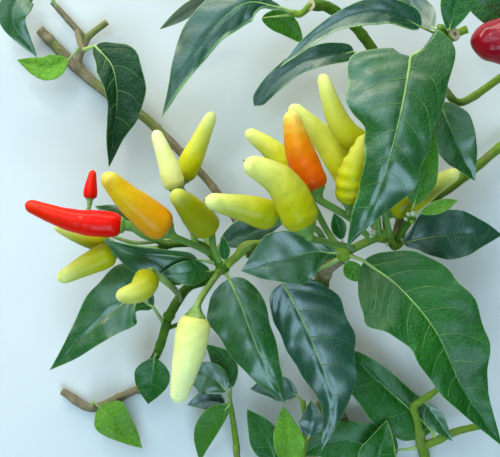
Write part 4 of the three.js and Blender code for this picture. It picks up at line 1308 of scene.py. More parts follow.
def bark_skin(name, dark, light, green, green_share):
    """Bark with streaks along the limb, cracks, and green showing through where it is young."""
    look = Shading(name, {"IOR": 1.45, "Specular IOR Level": 0.15})
    turn = look.math("MULTIPLY", look.uv()[0], 2 * math.pi)
    flow = look.node("ShaderNodeCombineXYZ", {
        "X": look.math("COSINE", turn),
        "Y": look.math("SINE", turn),
        "Z": look.math("MULTIPLY", look.attribute("distance"), 0.09),
    }).outputs[0]
    streak = look.noise(4.5, 5, 0.65, flow, 0.4)
    patch = look.noise(70, 4, 0.6)
    base = look.mix(look.band(streak, 0.3, 0.7), dark, light)
    fresh = look.band(patch, 0.62 - 0.5 * green_share, 0.78 - 0.4 * green_share, 0.0, 0.85)
    base = look.mix(fresh, base, green)
    crack = look.band(look.noise(11, 4, 0.7, flow, 0.8), 0.60, 0.70)
    base = look.mix(look.math("MULTIPLY", crack, 0.55), base, times(dark, 0.45))
    base = look.mix(look.math("MULTIPLY", look.attribute("scar"), 0.7), base, times(light, 1.25))
    look.put("Base Color", base)
    look.put("Roughness", look.band(streak, 0.3, 0.7, 0.55, 0.82))
    rough = look.bump(look.math("SUBTRACT", streak, look.math("MULTIPLY", crack, 0.6)), 0.7, 0.0006)
    look.put("Normal", look.bump(look.noise(1200, 3), 0.4, 0.00018, rough))
    return look.material


def cut_wood(name, pale, pith):
    """A cut end: pale wood in faint rings round a brown pith."""
    look = Shading(name, {"IOR": 1.45, "Specular IOR Level": 0.25})
    radial = look.attribute("radial")
    ring = look.band(look.math("SINE", look.math("MULTIPLY", radial, 26.0)), -1.0, 1.0)
    base = look.mix(look.math("MULTIPLY", ring, 0.35), pale, times(pale, 0.65))
    base = look.mix(look.band(radial, 0.28, 0.38, 1.0, 0.0), base, pith)
    base = look.mix(look.band(look.noise(800, 3), 0.45, 0.75, 0.0, 0.5), base, times(pale, 0.55))
    look.put("Base Color", base)
    look.put("Roughness", look.band(look.noise(600, 2), 0.3, 0.7, 0.7, 0.85))
    look.put("Normal", look.bump(look.noise(900, 3), 0.5, 0.0003))
    return look.material


def plain_tint(name, colour, roughness, scale=500):
    """A small part's own colour, a little uneven."""
    look = Shading(name, {"IOR": 1.45, "Specular IOR Level": 0.4})
    cloud = look.band(look.noise(scale, 3), 0.3, 0.7)
    look.put("Base Color", look.mix(cloud, times(colour, 0.7), times(colour, 1.25)))
    look.put("Roughness", look.band(look.noise(scale * 2, 2), 0.3, 0.7, roughness - 0.06, roughness + 0.08))
    look.put("Normal", look.bump(look.noise(scale * 3, 2), 0.3, 0.0002))
    return look.material


def floor_paint(name):
    """The pale floor."""
    look = Shading(name, {"Specular IOR Level": 0.2})
    look.put("Base Color", look.mix(look.noise(9, 3), (0.62, 0.63, 0.62), (0.68, 0.685, 0.675)))
    look.put("Roughness", look.band(look.noise(40, 2), 0.3, 0.7, 0.75, 0.85))
    return look.material


# Boughs and twigs


def limb_line(piece, spacing):
    """The centre line of a limb, with its length in millimetres so far at each point."""
    places = spots(piece["points"])
    rings = max(8, int(path_length(places) / spacing) + 1)
    shares = np.linspace(0, 1, rings)
    centres = along(places, shares)
    lengths = np.concatenate([[0], np.cumsum(np.linalg.norm(np.diff(centres, axis=0), axis=1))])
    radii = eased(np.linspace(0, 1, len(piece["radii"])), piece["radii"], shares)
    return centres, radii, lengths


def add_limb(shell, piece, seed, relief, joint_spacing, sides=36, spacing=0.8):
    """Adds a limb with grooves, lumps and the swollen rings and scars where leaves once stood."""
    centres, radii, lengths = limb_line(piece, spacing)
    chance = np.random.default_rng(seed)
    angles = np.linspace(0, 2 * math.pi, sides, endpoint=False)[None, :]
    long = lengths[:, None]
    phase = chance.uniform(0, 2 * math.pi, 4)
    grooves = 0.035 * np.sin(3 * angles + 0.05 * long + phase[0])
    grooves = grooves + 0.03 * np.sin(7 * angles - 0.04 * long + phase[1])
    swell = np.zeros_like(long)
    scar = np.zeros((len(lengths), sides))
    joint = joint_spacing * chance.uniform(0.4, 0.8)
    while joint < lengths[-1] - 2:
        where = (long - joint) / 1.7
        turn = np.angle(np.exp(1j * (angles - chance.uniform(0, 2 * math.pi))))
        swell = swell + 0.13 * np.exp(-(where ** 2))
        scar = scar + np.exp(-((where / 0.75) ** 2) - (turn / 0.65) ** 2)
        joint += joint_spacing * chance.uniform(0.75, 1.3)
    cloud_points = np.stack(np.broadcast_arrays(
        np.cos(angles) * 3.0, np.sin(angles) * 3.0, long * 0.8 + seed * 13.0
    ), axis=-1)
    lumps = 0.035 * ripple(cloud_points, seed, 7.0) + 0.02 * ripple(cloud_points, seed + 1, 2.6)
    shape = 1 + relief * (grooves + lumps) + swell + 0.16 * scar
    is_cut = piece["cut"]
    body = radii[:, None] * shape
    ground = CAD_LOW[2] / MILLIMETRE
    centres[:, 2] += np.maximum(0, ground + body.max(axis=1) - centres[:, 2])
    grid = add_round(
        shell, centres, body, start_reach=radii[0] * 0.5, end_reach=0.0 if is_cut else radii[-1] * 0.5,
        distance=lengths, scar=scar, radial=0.0,
    )
    if is_cut:
        add_cut_end(shell, grid[-1], centres[-1], unit(centres[-1] - centres[-2]))


def add_cut_end(shell, ring, centre, ahead):
    """Adds the disc of cut wood that closes a limb's free end."""
    lift = 0.12
    shares = np.array([1.0, 0.97, 0.86, 0.7, 0.52, 0.36, 0.2])
    heights = np.array([0.0, 1.0, 1.15, 1.0, 0.9, 0.7, 0.5]) * lift
    grid = centre + (ring - centre)[None] * shares[:, None, None] + ahead * heights[:, None, None]
    sides = ring.shape[0]
    around = np.linspace(0, 1, sides + 1)
    uvs = np.stack(np.broadcast_arrays(around[None, :], 1 - shares[:, None]), axis=-1)
    radial = np.repeat(shares, sides)
    index = shell.add_grid(grid, uvs, slot=1, wrap=True, radial=radial)
    pole = centre + ahead * lift * 0.4
    shell.add_fan(index[-1], pole, uvs[-1], (0.5, 1), slot=1, radial=[0.0])


def add_knob(shell, centre, radius, seed, relief):
    """Adds the lumpy swelling where limbs join."""
    turns = np.radians(np.linspace(-82, 82, KNOB_RINGS))
    centres = centre + np.array([0, 0, 1.0]) * (radius * 1.05 * np.sin(turns))[:, None]
    angles = np.linspace(0, 2 * math.pi, KNOB_SIDES, endpoint=False)
    directions = np.stack(np.broadcast_arrays(
        np.cos(angles)[None, :] * np.cos(turns)[:, None],
        np.sin(angles)[None, :] * np.cos(turns)[:, None],
        np.sin(turns)[:, None],
    ), axis=-1)
    shape = 1 + relief * 0.09 * ripple(directions * radius, seed, radius * 1.6)
    reach = radius * 0.04
    add_round(
        shell, centres, radius * np.cos(turns)[:, None] * shape, start_reach=reach, end_reach=reach,
        distance=np.zeros(len(turns)), scar=np.full(len(turns), 0.35), radial=0.0,
    )


# Blades and their veins


def blade_share(shares, widest):
    """How wide a plain blade is at shares of the way from its base, as a share of its widest."""
    rise = np.sin(np.pi / 2 * np.minimum(shares / widest, 1)) ** ROOT_FULLNESS
    near = ROOT_WIDTH_SHARE + (1 - ROOT_WIDTH_SHARE) * rise
    past = np.clip((shares - widest) / (1 - widest), 0, 1)
    far = (1 - past) ** TIP_FULLNESS * (1 + TIP_FULLNESS * past)
    return np.where(shares < widest, near, far)


def vein_lead(outward):
    """How far a side vein has drawn towards the tip at a share of the way out."""
    return VEIN_LEAN * (VEIN_STRAIGHTNESS * outward + (1 - VEIN_STRAIGHTNESS) * outward ** VEIN_CURVE_POWER)


class Blade:
    """One leaf's surface: any share along it and any share out to its left or right margin."""

    def __init__(self, shape, seed, sizes):
        self.shape = shape
        self.sizes = sizes
        self.midrib = spots(shape["midrib"])
        self.length = path_length(along(self.midrib, np.linspace(0, 1, 60)))
        self.vein_count = int(np.clip(round(self.length / (sizes.vein_spacing / MILLIMETRE)), 3, 9))
        chance = np.random.default_rng(seed)
        self.phases = chance.uniform(0, 2 * math.pi, 8)
        self.seed = seed
        is_lobed = max(side[2] for side in shape["sides"]) > 0
        self.rounding = LOBED_ROUNDING if is_lobed else BASE_ROUNDING
        self.full_reach = max(
            float(self.reach(np.linspace(0, 1, 30), side).max()) for side in (0, 1)
        )

    def reach(self, shares, side):
        """The half width in millimetres at shares of the way along one side."""
        widths = self.shape["sides"][side][0]
        if isinstance(widths, dict):
            columns = eased(list(widths), list(widths.values()), shares)
        elif isinstance(widths, list):
            columns = eased(BLADE_STATIONS, widths, shares)
        else:
            columns = widths * blade_share(shares, self.shape["widest"])
        heights = along(self.midrib, shares)[:, 2]
        rounding = (1 - (1 - np.clip(shares / self.rounding, 0, 1)) ** 2.4) ** (1 / 2.4)
        waves = self.length / 17.0
        wave = np.sin(2 * math.pi * waves * shares + self.phases[4 + side])
        uneven = 1 + 0.035 * wave * np.sin(math.pi * shares)
        return (span(columns, heights) + 0.4 * (1 - shares)) * rounding * uneven + 0.1

    def points(self, shares, sides):
        """Points on the middle of the blade, in millimetres. Sides run from -1, left, to 1, right."""
        shares = np.ravel(shares).astype(float)
        sides = np.ravel(sides).astype(float)
        outward = np.abs(sides)
        small = 0.01
        centre = along(self.midrib, shares)
        ahead = unit(along(self.midrib, shares + small) - along(self.midrib, shares - small))
        left = unit(np.stack([-ahead[:, 1], ahead[:, 0], np.zeros(len(shares))], axis=1))
        usual = blade_share(shares, self.shape["widest"])
        is_right = sides >= 0
        reach = np.where(is_right, self.reach(shares, 1), self.reach(shares, 0))
        rise = np.where(is_right, self.shape["sides"][1][1], self.shape["sides"][0][1])
        lobe = np.where(is_right, self.shape["sides"][1][2], self.shape["sides"][0][2])
        fold = np.where(is_right, self.shape["lime"][1], self.shape["lime"][0])
        back = span(lobe, centre[:, 2]) * np.maximum(0, 1 - shares / LOBE_SHARE) * outward ** 1.5
        back = back * smooth(shares / LOBE_START)
        place = centre - left * (sides * reach)[:, None] - ahead * back[:, None]
        ends = np.sin(math.pi * np.clip(shares, 0, 1)) ** 0.6
        size = min(1.0, self.full_reach / FULL_BLADE_REACH)
        waves = self.length / 24.0
        phase = np.where(is_right, self.phases[0], self.phases[1])
        wavy = np.sin(2 * math.pi * waves * shares + phase)
        wavy = wavy + 0.25 * np.sin(5 * math.pi * waves * shares + phase * 2)
        height = rise * usual * outward ** 1.3
        swing = self.sizes.margin_wave / MILLIMETRE * self.shape["wave"] * size
        height += swing * outward ** 2.3 * wavy * ends
        height += 0.025 * reach * np.sin(math.pi * outward) * ends
        height -= self.sizes.midrib_channel / MILLIMETRE * size * np.exp(-((sides * reach / 1.3) ** 2)) * ends
        lead = vein_lead(outward)
        origin = (shares - lead) / (1 - lead)
        number = (origin - FIRST_VEIN) / (LAST_VEIN - FIRST_VEIN) * self.vein_count
        number = number + np.where(is_right, 0.5, 0.0)
        cushion = (1 - np.cos(2 * math.pi * number)) / 2 - 0.45
        quilt = self.sizes.quilt_height / MILLIMETRE * size * cushion
        quilt = quilt * np.minimum(1, outward * 5) * (1 - outward ** 4)
        height += quilt * smooth(np.minimum(shares, 1 - shares) * 9)
        height += 0.13 * size * ripple(place, self.seed, 9.0) * ends
        height += 0.025 * size * ripple(place, self.seed + 1, 3.4) * ends
        margin = (1 - outward) * reach
        height += 0.35 * fold * np.where(fold > 1, smooth(1 - margin / np.maximum(fold, 0.1)), 0)
        place[:, 2] += height
        return place

    def rim(self, shares, sides):
        """One at the margin, falling to nought across the pale band that runs along it."""
        is_right = sides >= 0
        reach = np.where(is_right, self.reach(shares, 1), self.reach(shares, 0))
        band = np.where(is_right, self.shape["lime"][1], self.shape["lime"][0])
        band = band * (0.75 + 0.25 * np.sin(shares * 21 + self.phases[2]))
        return np.clip(1 - (1 - np.abs(sides)) * reach / (2.2 * band), 0, 1)


def add_blade(shell, blade, slot, under_slot, thickness):
    """Adds a blade as a thin closed shell, darker above and paler below."""
    rows = int(np.clip(blade.length / 1.1, 30, 92))
    half = int(np.clip(blade.full_reach / 0.9, 7, 19))
    share = dome_shares(rows, 0.9)
    step = np.linspace(0, 1, half + 1)
    outward = 0.45 * step + 0.55 * np.sin(np.pi / 2 * step)
    side = np.concatenate([-outward[:0:-1], outward])
    shares, sides = np.meshgrid(share, side, indexing="ij")
    middle = blade.points(shares, sides).reshape(rows, len(side), 3)
    along_way = np.gradient(middle, axis=0)
    across_way = np.gradient(middle, axis=1)
    up = unit(np.cross(across_way, along_way))
    up[np.linalg.norm(up, axis=-1) < 0.5] = (0, 0, 1)
    up[0] = up[1]
    up[-1] = up[-2]
    rim = blade.rim(shares.ravel(), sides.ravel())
    part = thickness / 2 * (1 - 0.5 * np.abs(sides)[..., None] ** 6)
    uvs = np.stack([sides * 0.5 + 0.5, shares], axis=-1)
    upper = shell.add_grid(middle + up * part, uvs, slot, rim=rim)
    lower = shell.add_grid(middle - up * part, uvs, under_slot, flip=True, rim=rim)
    edge = [upper[0], upper[1:, -1], upper[-1, -2::-1], upper[-2:0:-1, 0]]
    under = [lower[0], lower[1:, -1], lower[-1, -2::-1], lower[-2:0:-1, 0]]
    over = np.concatenate(edge)
    below = np.concatenate(under)
    corners = np.stack([below, np.roll(below, -1), np.roll(over, -1), over], axis=-1)
    shell.add_faces(corners, np.full((len(corners), 4, 2), 0.5), slot)


def leaf_lines(blade, sizes):
    """The lines of a leaf's stalk with its midrib, and of its side veins, with their thickness."""
    size = np.clip(blade.full_reach / FULL_BLADE_REACH, 0.35, 1.25)
    roots = spots(blade.shape["root"])
    start = blade.points([0.0, 0.05, 0.11], [0.0, 0.0, 0.0])
    neck = roots[-1] + (start[0] - roots[-1]) * 0.72
    stem = along(np.vstack([roots, neck, start]), np.linspace(0, 1, LEAF_STALK_STEPS))
    shares = np.linspace(0.12, 0.995, MIDRIB_STEPS)
    spine = blade.points(shares, np.zeros(MIDRIB_STEPS))
    line = np.vstack([stem, spine])
    root = sizes.petiole_radius / MILLIMETRE * (0.55 + 0.45 * min(size, 1.0))
    share = np.concatenate([[0], np.cumsum(np.linalg.norm(np.diff(line, axis=0), axis=1))])
    at_blade = share[LEAF_STALK_STEPS]
    middle = sizes.midrib_radius / MILLIMETRE * size
    thickness = np.interp(
        share, [0, at_blade * 0.25, at_blade, at_blade + (share[-1] - at_blade) * 0.3, share[-1]],
        [root * 1.3, root, middle * 1.2, middle * 0.75, 0.07],
    )
    main = [(line, thickness)]
    side_lines = []
    chance = np.random.default_rng(blade.seed + 7)
    for side in (-1, 1):
        offset = 0.5 if side > 0 else 0.0
        for number in range(blade.vein_count + 1):
            origin = FIRST_VEIN + (LAST_VEIN - FIRST_VEIN) * (number - offset) / blade.vein_count
            if origin < LOWEST_VEIN or origin > HIGHEST_VEIN:
                continue
            end = VEIN_REACH * chance.uniform(0.86, 1.0)
            outward = np.linspace(0, end, SIDE_VEIN_STEPS)
            lead = vein_lead(outward)
            path = blade.points(origin + (1 - origin) * lead, side * outward)
            path[:, 2] += VEIN_LIFT
            full = sizes.side_vein_radius / MILLIMETRE * size * (1.05 - 0.5 * origin)
            side_lines.append((path, np.linspace(full, VEIN_END, SIDE_VEIN_STEPS)))
    return main, side_lines


# Pods, their caps and stalks


def pod_radius(shape):
    """A pod's fullest radius in millimetres."""
    return span(shape["width"], shape["axis"][1][2]) / 2


def add_pod(shell, shape, seed, lumpiness):
    """Adds a pod: rounded shoulders, a tapering lumpy body and a rounded tip."""
    axis = spots(shape["axis"])
    full = pod_radius(shape)
    turn = np.linspace(0, math.pi, POD_RINGS)
    share = 0.5 * (1 - np.cos(turn)) * 0.55 + 0.45 * np.linspace(0, 1, POD_RINGS)
    length = path_length(along(axis, np.linspace(0, 1, 60)))
    stations = [station for station, _ in shape["outline"]]
    wide = [radius for _, radius in shape["outline"]]
    tip_radius = full * wide[-1]
    tip_start = 1 - 1.15 * tip_radius / length
    profile = eased(stations, wide, share)
    beyond = np.clip((share - tip_start) / (1 - tip_start), 0, 1)
    profile = profile * np.sqrt(np.maximum(1 - beyond ** 2, 0.0004))
    centres = along(axis, share)
    chance = np.random.default_rng(seed)
    phase = chance.uniform(0, 2 * math.pi, 5)
    angles = np.linspace(0, 2 * math.pi, POD_SIDES, endpoint=False)[None, :]
    here = share[:, None]
    points = np.stack(np.broadcast_arrays(
        np.cos(angles) * full, np.sin(angles) * full, here * length + seed * 31.0
    ), axis=-1)
    lobes = 0.022 * np.cos(3 * angles + phase[0]) * (1 - here) + 0.02 * np.cos(2 * angles + phase[1])
    lumps = 0.022 * ripple(points, seed, 15.0) + 0.011 * ripple(points, seed + 1, 6.0)
    folds = shape["lumps"] - 1
    turns = 6.2 * here + 0.9 * here ** 2
    wrinkles = 0.05 * folds * np.sin(2 * math.pi * turns + 1.3 * np.sin(angles + phase[2]))
    wrinkles = wrinkles * (0.65 + 0.35 * np.sin(2 * angles + 5 * here + phase[3]))
    wrinkles = wrinkles * np.sin(math.pi * here) ** 0.5
    ends = smooth(np.minimum(here * 12, (1 - here) * 9))
    uneven = 1 + ends * lumpiness * (lobes + lumps + wrinkles)
    radii = full * profile[:, None] * uneven
    add_round(shell, centres, radii, start_reach=-0.35, end_reach=0.05)


def add_cap(shell, shape, seed, thickness):
    """Adds the ribbed cap that clasps a pod's shoulder and narrows to its stalk."""
    axis = spots(shape["axis"])
    full = pod_radius(shape)
    away = unit(axis[0] - along(axis, [0.03])[0])
    steps = np.array([-1.5, -1.2, -0.6, 0.1, 0.8, 1.5, 2.3, 3.2, 4.5])
    stem = thickness * 1.25
    wide = np.array([0.60, 0.64, 0.63, 0.575, 0.50, 0.41, 0.0, 0.0, 0.0]) * full
    wide[6:] = np.array([0.26 * full + 0.4 * stem, stem * 1.15, stem])
    wide = np.maximum(wide, stem)
    size = full / 8.5
    stations = np.linspace(0, 1, CAP_RINGS)
    offset = eased(np.linspace(0, 1, len(steps)), steps * max(size, 0.6), stations)
    radius = eased(np.linspace(0, 1, len(wide)), wide, stations)
    centres = axis[0] + away * offset[:, None]
    angles = np.linspace(0, 2 * math.pi, CAP_SIDES, endpoint=False)[None, :]
    chance = np.random.default_rng(seed)
    phase = chance.uniform(0, 2 * math.pi)
    here = stations[:, None]
    ribs = 0.045 * np.cos(5 * angles + phase) * smooth(here * 2.0)
    ribs = ribs + 0.02 * np.cos(10 * angles + phase) * (1 - here)
    teeth = -0.03 * (1 - smooth(here * 6)) * np.abs(np.cos(2.5 * angles + phase))
    rim = 1 - smooth(stations * 7)
    add_round(shell, centres, radius[:, None] * (1 + ribs + teeth), start_reach=-1.4, end_reach=0.2, rim=rim)
    return centres[-1]


def stalk_line(shape, start, thickness):
    """The line of a pod's stalk from its cap back to the plant, with its thickness."""
    axis = spots(shape["axis"])
    away = unit(axis[0] - along(axis, [0.03])[0])
    path = np.vstack([start - away * 1.2, start + away * 0.4, spots(shape["stalk"])])
    shares = np.linspace(0, 1, POD_STALK_STEPS)
    line = along(path, shares)
    radii = thickness * np.interp(shares, [0, 0.12, 0.45, 0.85, 1], [1.25, 1.2, 1.0, 0.88, 1.05])
    return line, radii


def pod_material(skin):
    """The skin of a pod that is at a stage of ripeness, or a lit or shaded copy of the yellow skin: painted
    light or shade.
    """
    yellow = tint("pod_yellow")
    pale = tint("pod_pale")
    orange = tint("pod_orange")
    red = tint("pod_red")
    green = blended(yellow, tint("bark_green"), 0.22)
    sunny = (0.68, 0.44, 0.006)
    if skin == "yellow":
        stops = [
            (0.0, blended(yellow, green, 0.6)), (0.3, yellow), (0.6, blended(yellow, pale, 0.2)),
            (0.85, blended(yellow, pale, 0.6)), (1.0, pale),
        ]
        return shared("pod yellow", lambda name: pod_skin(name, stops, blended(yellow, green, 0.75)))
    # The yellow skin made half again as bright, for pods that lie behind others: painted light.
    if skin == "light":
        light = times(yellow, 1.5)
        stops = [(0.0, times(yellow, 1.2)), (0.3, light), (0.7, blended(light, pale, 0.35)), (1.0, pale)]
        return shared("pod light", lambda name: pod_skin(name, stops, blended(light, green, 0.5)))
    # The yellow skin darkened to three quarters, for the pod that points at the camera: painted shade.
    if skin == "olive":
        olive = times(yellow, 0.75)
        stops = [
            (0.0, blended(olive, green, 0.5)), (0.5, olive),
            (0.8, times(yellow, 0.85)), (1.0, blended(yellow, pale, 0.3)),
        ]
        return shared("pod olive", lambda name: pod_skin(name, stops, blended(olive, green, 0.6)))
    if skin == "wrinkled":
        end = times(blended(yellow, pale, 0.25), 1.15)
        stops = [(0.0, times(yellow, 0.95)), (0.4, times(yellow, 1.1)), (1.0, end)]
        return shared("pod folded", lambda name: pod_skin(name, stops, blended(yellow, sunny, 0.3)))
    if skin == "pale":
        end = blended(pale, (0.95, 0.95, 0.55), 0.5)
        stops = [(0.0, blended(pale, yellow, 0.5)), (0.3, pale), (1.0, end)]
        return shared("pod pale", lambda name: pod_skin(name, stops, blended(pale, yellow, 0.6)))
    if skin == "gold":
        golden = blended(orange, sunny, 0.6)
        end = blended(sunny, pale, 0.35)
        stops = [(0.0, blended(orange, sunny, 0.35)), (0.45, golden), (0.8, sunny), (1.0, end)]
        return shared("pod gold", lambda name: pod_skin(name, stops, blended(orange, sunny, 0.3)))
    if skin == "orange":
        stops = [
            (0.0, blended(orange, red, 0.45)), (0.35, orange), (0.7, blended(orange, sunny, 0.45)),
            (0.85, blended(sunny, pale, 0.25)), (1.0, blended(sunny, pale, 0.6)),
        ]
        return shared("pod orange", lambda name: pod_skin(name, stops, blended(orange, red, 0.25)))
    if skin == "crimson":
        deep = blended(times(red, 0.42), (0.10, 0.0, 0.03), 0.3)
        stops = [(0.0, times(deep, 0.8)), (0.4, deep), (1.0, times(deep, 1.15))]
        return shared("pod crimson", lambda name: pod_skin(name, stops, times(deep, 0.7), gloss=0.6))
    stops = [(0.0, times(red, 0.8)), (0.3, red), (1.0, blended(red, orange, 0.15))]
    return shared("pod red", lambda name: pod_skin(name, stops, times(red, 0.85), gloss=0.2))


def add_bud(shell, base, tip, radius, petals, seed):
    """Adds a bud: a ribbed green cup with five teeth, and white petals when they show."""
    way = unit(tip - base)
    length = float(np.linalg.norm(tip - base))
    angles = np.linspace(0, 2 * math.pi, BUD_SIDES, endpoint=False)[None, :]
    phase = np.random.default_rng(seed).uniform(0, 2 * math.pi)
    stations = np.linspace(0, 1, BUD_RINGS)
    here = stations[:, None]
    cup_length = length * (0.9 if petals < 0.1 else 0.62)
    profile = eased([0, 0.25, 0.6, 0.85, 1], [0.35, 0.62, 1.0, 0.9, 0.6], stations)
    ribs = 1 + 0.10 * np.cos(5 * angles + phase) * (0.3 + here)
    add_round(
        shell, base + way * (stations * cup_length)[:, None], radius * profile[:, None] * ribs,
        start_reach=0.1, end_reach=radius * 0.35, rim=np.zeros(BUD_RINGS),
    )
    if petals >= 0.1:
        profile = eased([0, 0.4, 0.75, 1], [0.55, 0.85, 0.6 + 0.5 * petals, 0.25 + 0.6 * petals], stations)
        folds = 1 + (0.12 + 0.22 * petals * here) * np.cos(5 * angles + phase + 0.6)
        add_round(
            shell, base + way * (cup_length * 0.7 + stations * length * 0.5)[:, None],
            radius * profile[:, None] * folds, slot=1,
            start_reach=0.0, end_reach=-radius * 0.3 * petals, rim=np.zeros(BUD_RINGS),
        )


# What a user would change


class BranchSizes(bpy.types.PropertyGroup):
    """Sizes of the branch's fine detail."""

    petiole_radius: FloatProperty(
        name="Leaf stalk radius", description="Half the thickness of a large leaf's stalk",
        default=0.00095, min=0.0003, max=0.003, unit="LENGTH",
    )
    midrib_radius: FloatProperty(
        name="Midrib radius", description="Half the thickness of a large leaf's midrib",
        default=0.00035, min=0.0001, max=0.002, unit="LENGTH",
    )
    side_vein_radius: FloatProperty(
        name="Side vein radius", description="Half the thickness of a side vein where it leaves the midrib",
        default=0.00024, min=0.0001, max=0.001, unit="LENGTH",
    )
    vein_spacing: FloatProperty(
        name="Vein spacing", description="How far apart a leaf's side veins stand",
        default=0.0165, min=0.003, max=0.03, unit="LENGTH",
    )
    blade_thickness: FloatProperty(
        name="Blade thickness", description="How thick a blade is",
        default=0.00034, min=0.0001, max=0.001, unit="LENGTH",
    )
    margin_wave: FloatProperty(
        name="Margin wave", description="How far a large leaf's margin waves up and down",
        default=0.0012, min=0.0, max=0.005, unit="LENGTH",
    )
    quilt_height: FloatProperty(
        name="Quilting", description="How far a blade bulges between its side veins",
        default=0.00045, min=0.0, max=0.003, unit="LENGTH",
    )
    midrib_channel: FloatProperty(
        name="Midrib channel", description="How deep the midrib lies in its blade",
        default=0.0006, min=0.0, max=0.002, unit="LENGTH",
    )
    stalk_radius: FloatProperty(
        name="Pod stalk radius", description="Half the thickness of a pod's stalk",
        default=0.001, min=0.0005, max=0.003, unit="LENGTH",
    )
    stalk_ridge: FloatProperty(
        name="Stalk ridges",
        description="How far the ridges of a pod's stalk stand out, as a share of its radius",
        default=0.08, min=0.0, max=0.3, subtype="FACTOR",
    )
    pod_lumpiness: FloatProperty(
        name="Pod lumpiness", description="How uneven the pods are, one being as they grow",
        default=1.0, min=0.0, max=3.0, subtype="FACTOR",
    )
    bark_relief: FloatProperty(
        name="Bark relief", description="How rough the bark is, one being as it grows",
        default=1.0, min=0.0, max=3.0, subtype="FACTOR",
    )
    joint_spacing: FloatProperty(
        name="Joint spacing", description="How far apart the swollen rings on the boughs stand",
        default=0.024, min=0.008, max=0.1, unit="LENGTH",
    )
    seed: IntProperty(name="Seed", description="Chooses the chance unevenness", default=7, min=0)


def colour_property(name, description, default):
    """A colour that a user would change."""
    return FloatVectorProperty(
        name=name, description=description, default=default, size=3, min=0, max=1, subtype="COLOR",
    )


class BranchColours(bpy.types.PropertyGroup):
    """Base colours of the branch."""

    leaf_dim: colour_property("Dim leaf", "Leaves that hang in the shade", (0.006, 0.050, 0.012))
    leaf_deep: colour_property("Deep leaf", "Blue-green leaves in the depth", (0.007, 0.072, 0.030))
    leaf_dark: colour_property("Dark leaf", "The usual full-grown leaf", (0.011, 0.112, 0.012))
    leaf_mid: colour_property("Middle leaf", "Leaves in better light", (0.012, 0.112, 0.007))
    leaf_bright: colour_property("Bright leaf", "Young leaves", (0.060, 0.225, 0.012))
    leaf_lime: colour_property("Lime leaf", "Leaves that the light shines through", (0.140, 0.330, 0.018))
    leaf_under: colour_property("Leaf underside", "The paler lower side of a blade", (0.085, 0.190, 0.060))
    leaf_rim: colour_property("Leaf rim", "The pale margin of a blade", (0.200, 0.380, 0.080))
    vein: colour_property("Vein", "Midribs and leaf stalks", (0.300, 0.430, 0.120))
    pod_yellow: colour_property("Yellow-green pod", "A pod that has not yet ripened", (0.415, 0.395, 0.003))
    pod_pale: colour_property("Pale pod", "The palest pods", (0.800, 0.800, 0.270))
    pod_orange: colour_property("Orange pod", "A pod half way to ripe", (0.700, 0.135, 0.001))
    pod_red: colour_property("Red pod", "A ripe pod", (0.800, 0.006, 0.001))
    stalk: colour_property("Pod stalk", "Pod stalks and caps", (0.030, 0.098, 0.007))
    bark_brown: colour_property("Brown bark", "Old woody boughs", (0.230, 0.180, 0.105))
    bark_green: colour_property("Green bark", "Young green boughs and twigs", (0.165, 0.270, 0.022))
    bark_shaded: colour_property("Shaded bark", "Green twigs that the leaves shade", (0.050, 0.125, 0.008))


class BranchSettings(bpy.types.PropertyGroup):
    """All that a user would change."""

    sizes: PointerProperty(type=BranchSizes)
    colours: PointerProperty(type=BranchColours)


def settings():
    """The scene's own settings for the branch."""
    return bpy.context.scene.chilli_branch


def tint(name):
    """One of the scene's colours."""
    return tuple(getattr(settings().colours, name))


def shared(name, make):
    """The material with a name, which is made the first time that it is asked for."""
    return bpy.data.materials.get(name) or make(name)


def bark_kind(name, is_green):
    """Which bark a bough or a spray's fresh twigs wear."""
    if name in SHADED_LIMBS:
        return "shaded"
    return "green" if is_green else "brown"


def bark_materials(kind):
    """The bark and cut wood of a limb that is green, shaded or brown."""
    brown = tint("bark_brown")
    green = tint("bark_green")
    shaded = tint("bark_shaded")
    if kind == "green":
        bark = shared("green bark", lambda name: bark_skin(
            name, times(green, 0.75), times(green, 1.3), blended(green, brown, 0.5), 0.25))
    elif kind == "shaded":
        bark = shared("shaded bark", lambda name: bark_skin(
            name, times(shaded, 0.7), times(shaded, 1.4), blended(shaded, green, 0.5), 0.25))
    else:
        bark = shared("brown bark", lambda name: bark_skin(
            name, times(brown, 0.62), times(brown, 1.35), blended(brown, green, 0.6), 0.35))
    cut = shared("cut wood", lambda name: cut_wood(name, (0.52, 0.43, 0.24), (0.17, 0.09, 0.045)))
    return [bark, cut]


def vein_material():
    """The pale green of midribs, side veins and leaf stalks."""
    return shared("vein", lambda name: vein_skin(name, tint("vein")))


def side_vein_material(tone):
    """The side veins of leaves of one tone, which stand out only a little."""
    colour = blended(tint(f"leaf_{tone}"), tint("vein"), 0.36)
    return shared(f"side vein {tone}", lambda name: vein_skin(name, colour))


# Operators


class CHILLI_OT_boughs(bpy.types.Operator):
    """Makes the boughs, with the relief of their bark and their cut ends"""

    bl_idname = "chilli.boughs"
    bl_label = "Make boughs"

    def execute(self, context):
        sizes = settings().sizes
        spacing = sizes.joint_spacing / MILLIMETRE
        for number, (name, limbs) in enumerate(BOUGHS.items()):
            shell = Shell()
            seed = sizes.seed + LIMB_SEED_STEP * number
            for order, piece in enumerate(limbs):
                add_limb(shell, piece, seed + order, sizes.bark_relief, spacing)
            for holder, place, radius in KNOBS:
                if holder == name:
                    add_knob(shell, spot(place), radius, seed + KNOB_SEED_STEP, sizes.bark_relief)
            is_green = name in GREEN_BOUGHS
            bough = shell.make(f"{name}_bark", bark_materials(bark_kind(name, is_green)))
            dress(bough, "bark_green" if is_green else "bark_brown", name)
        return {"FINISHED"}


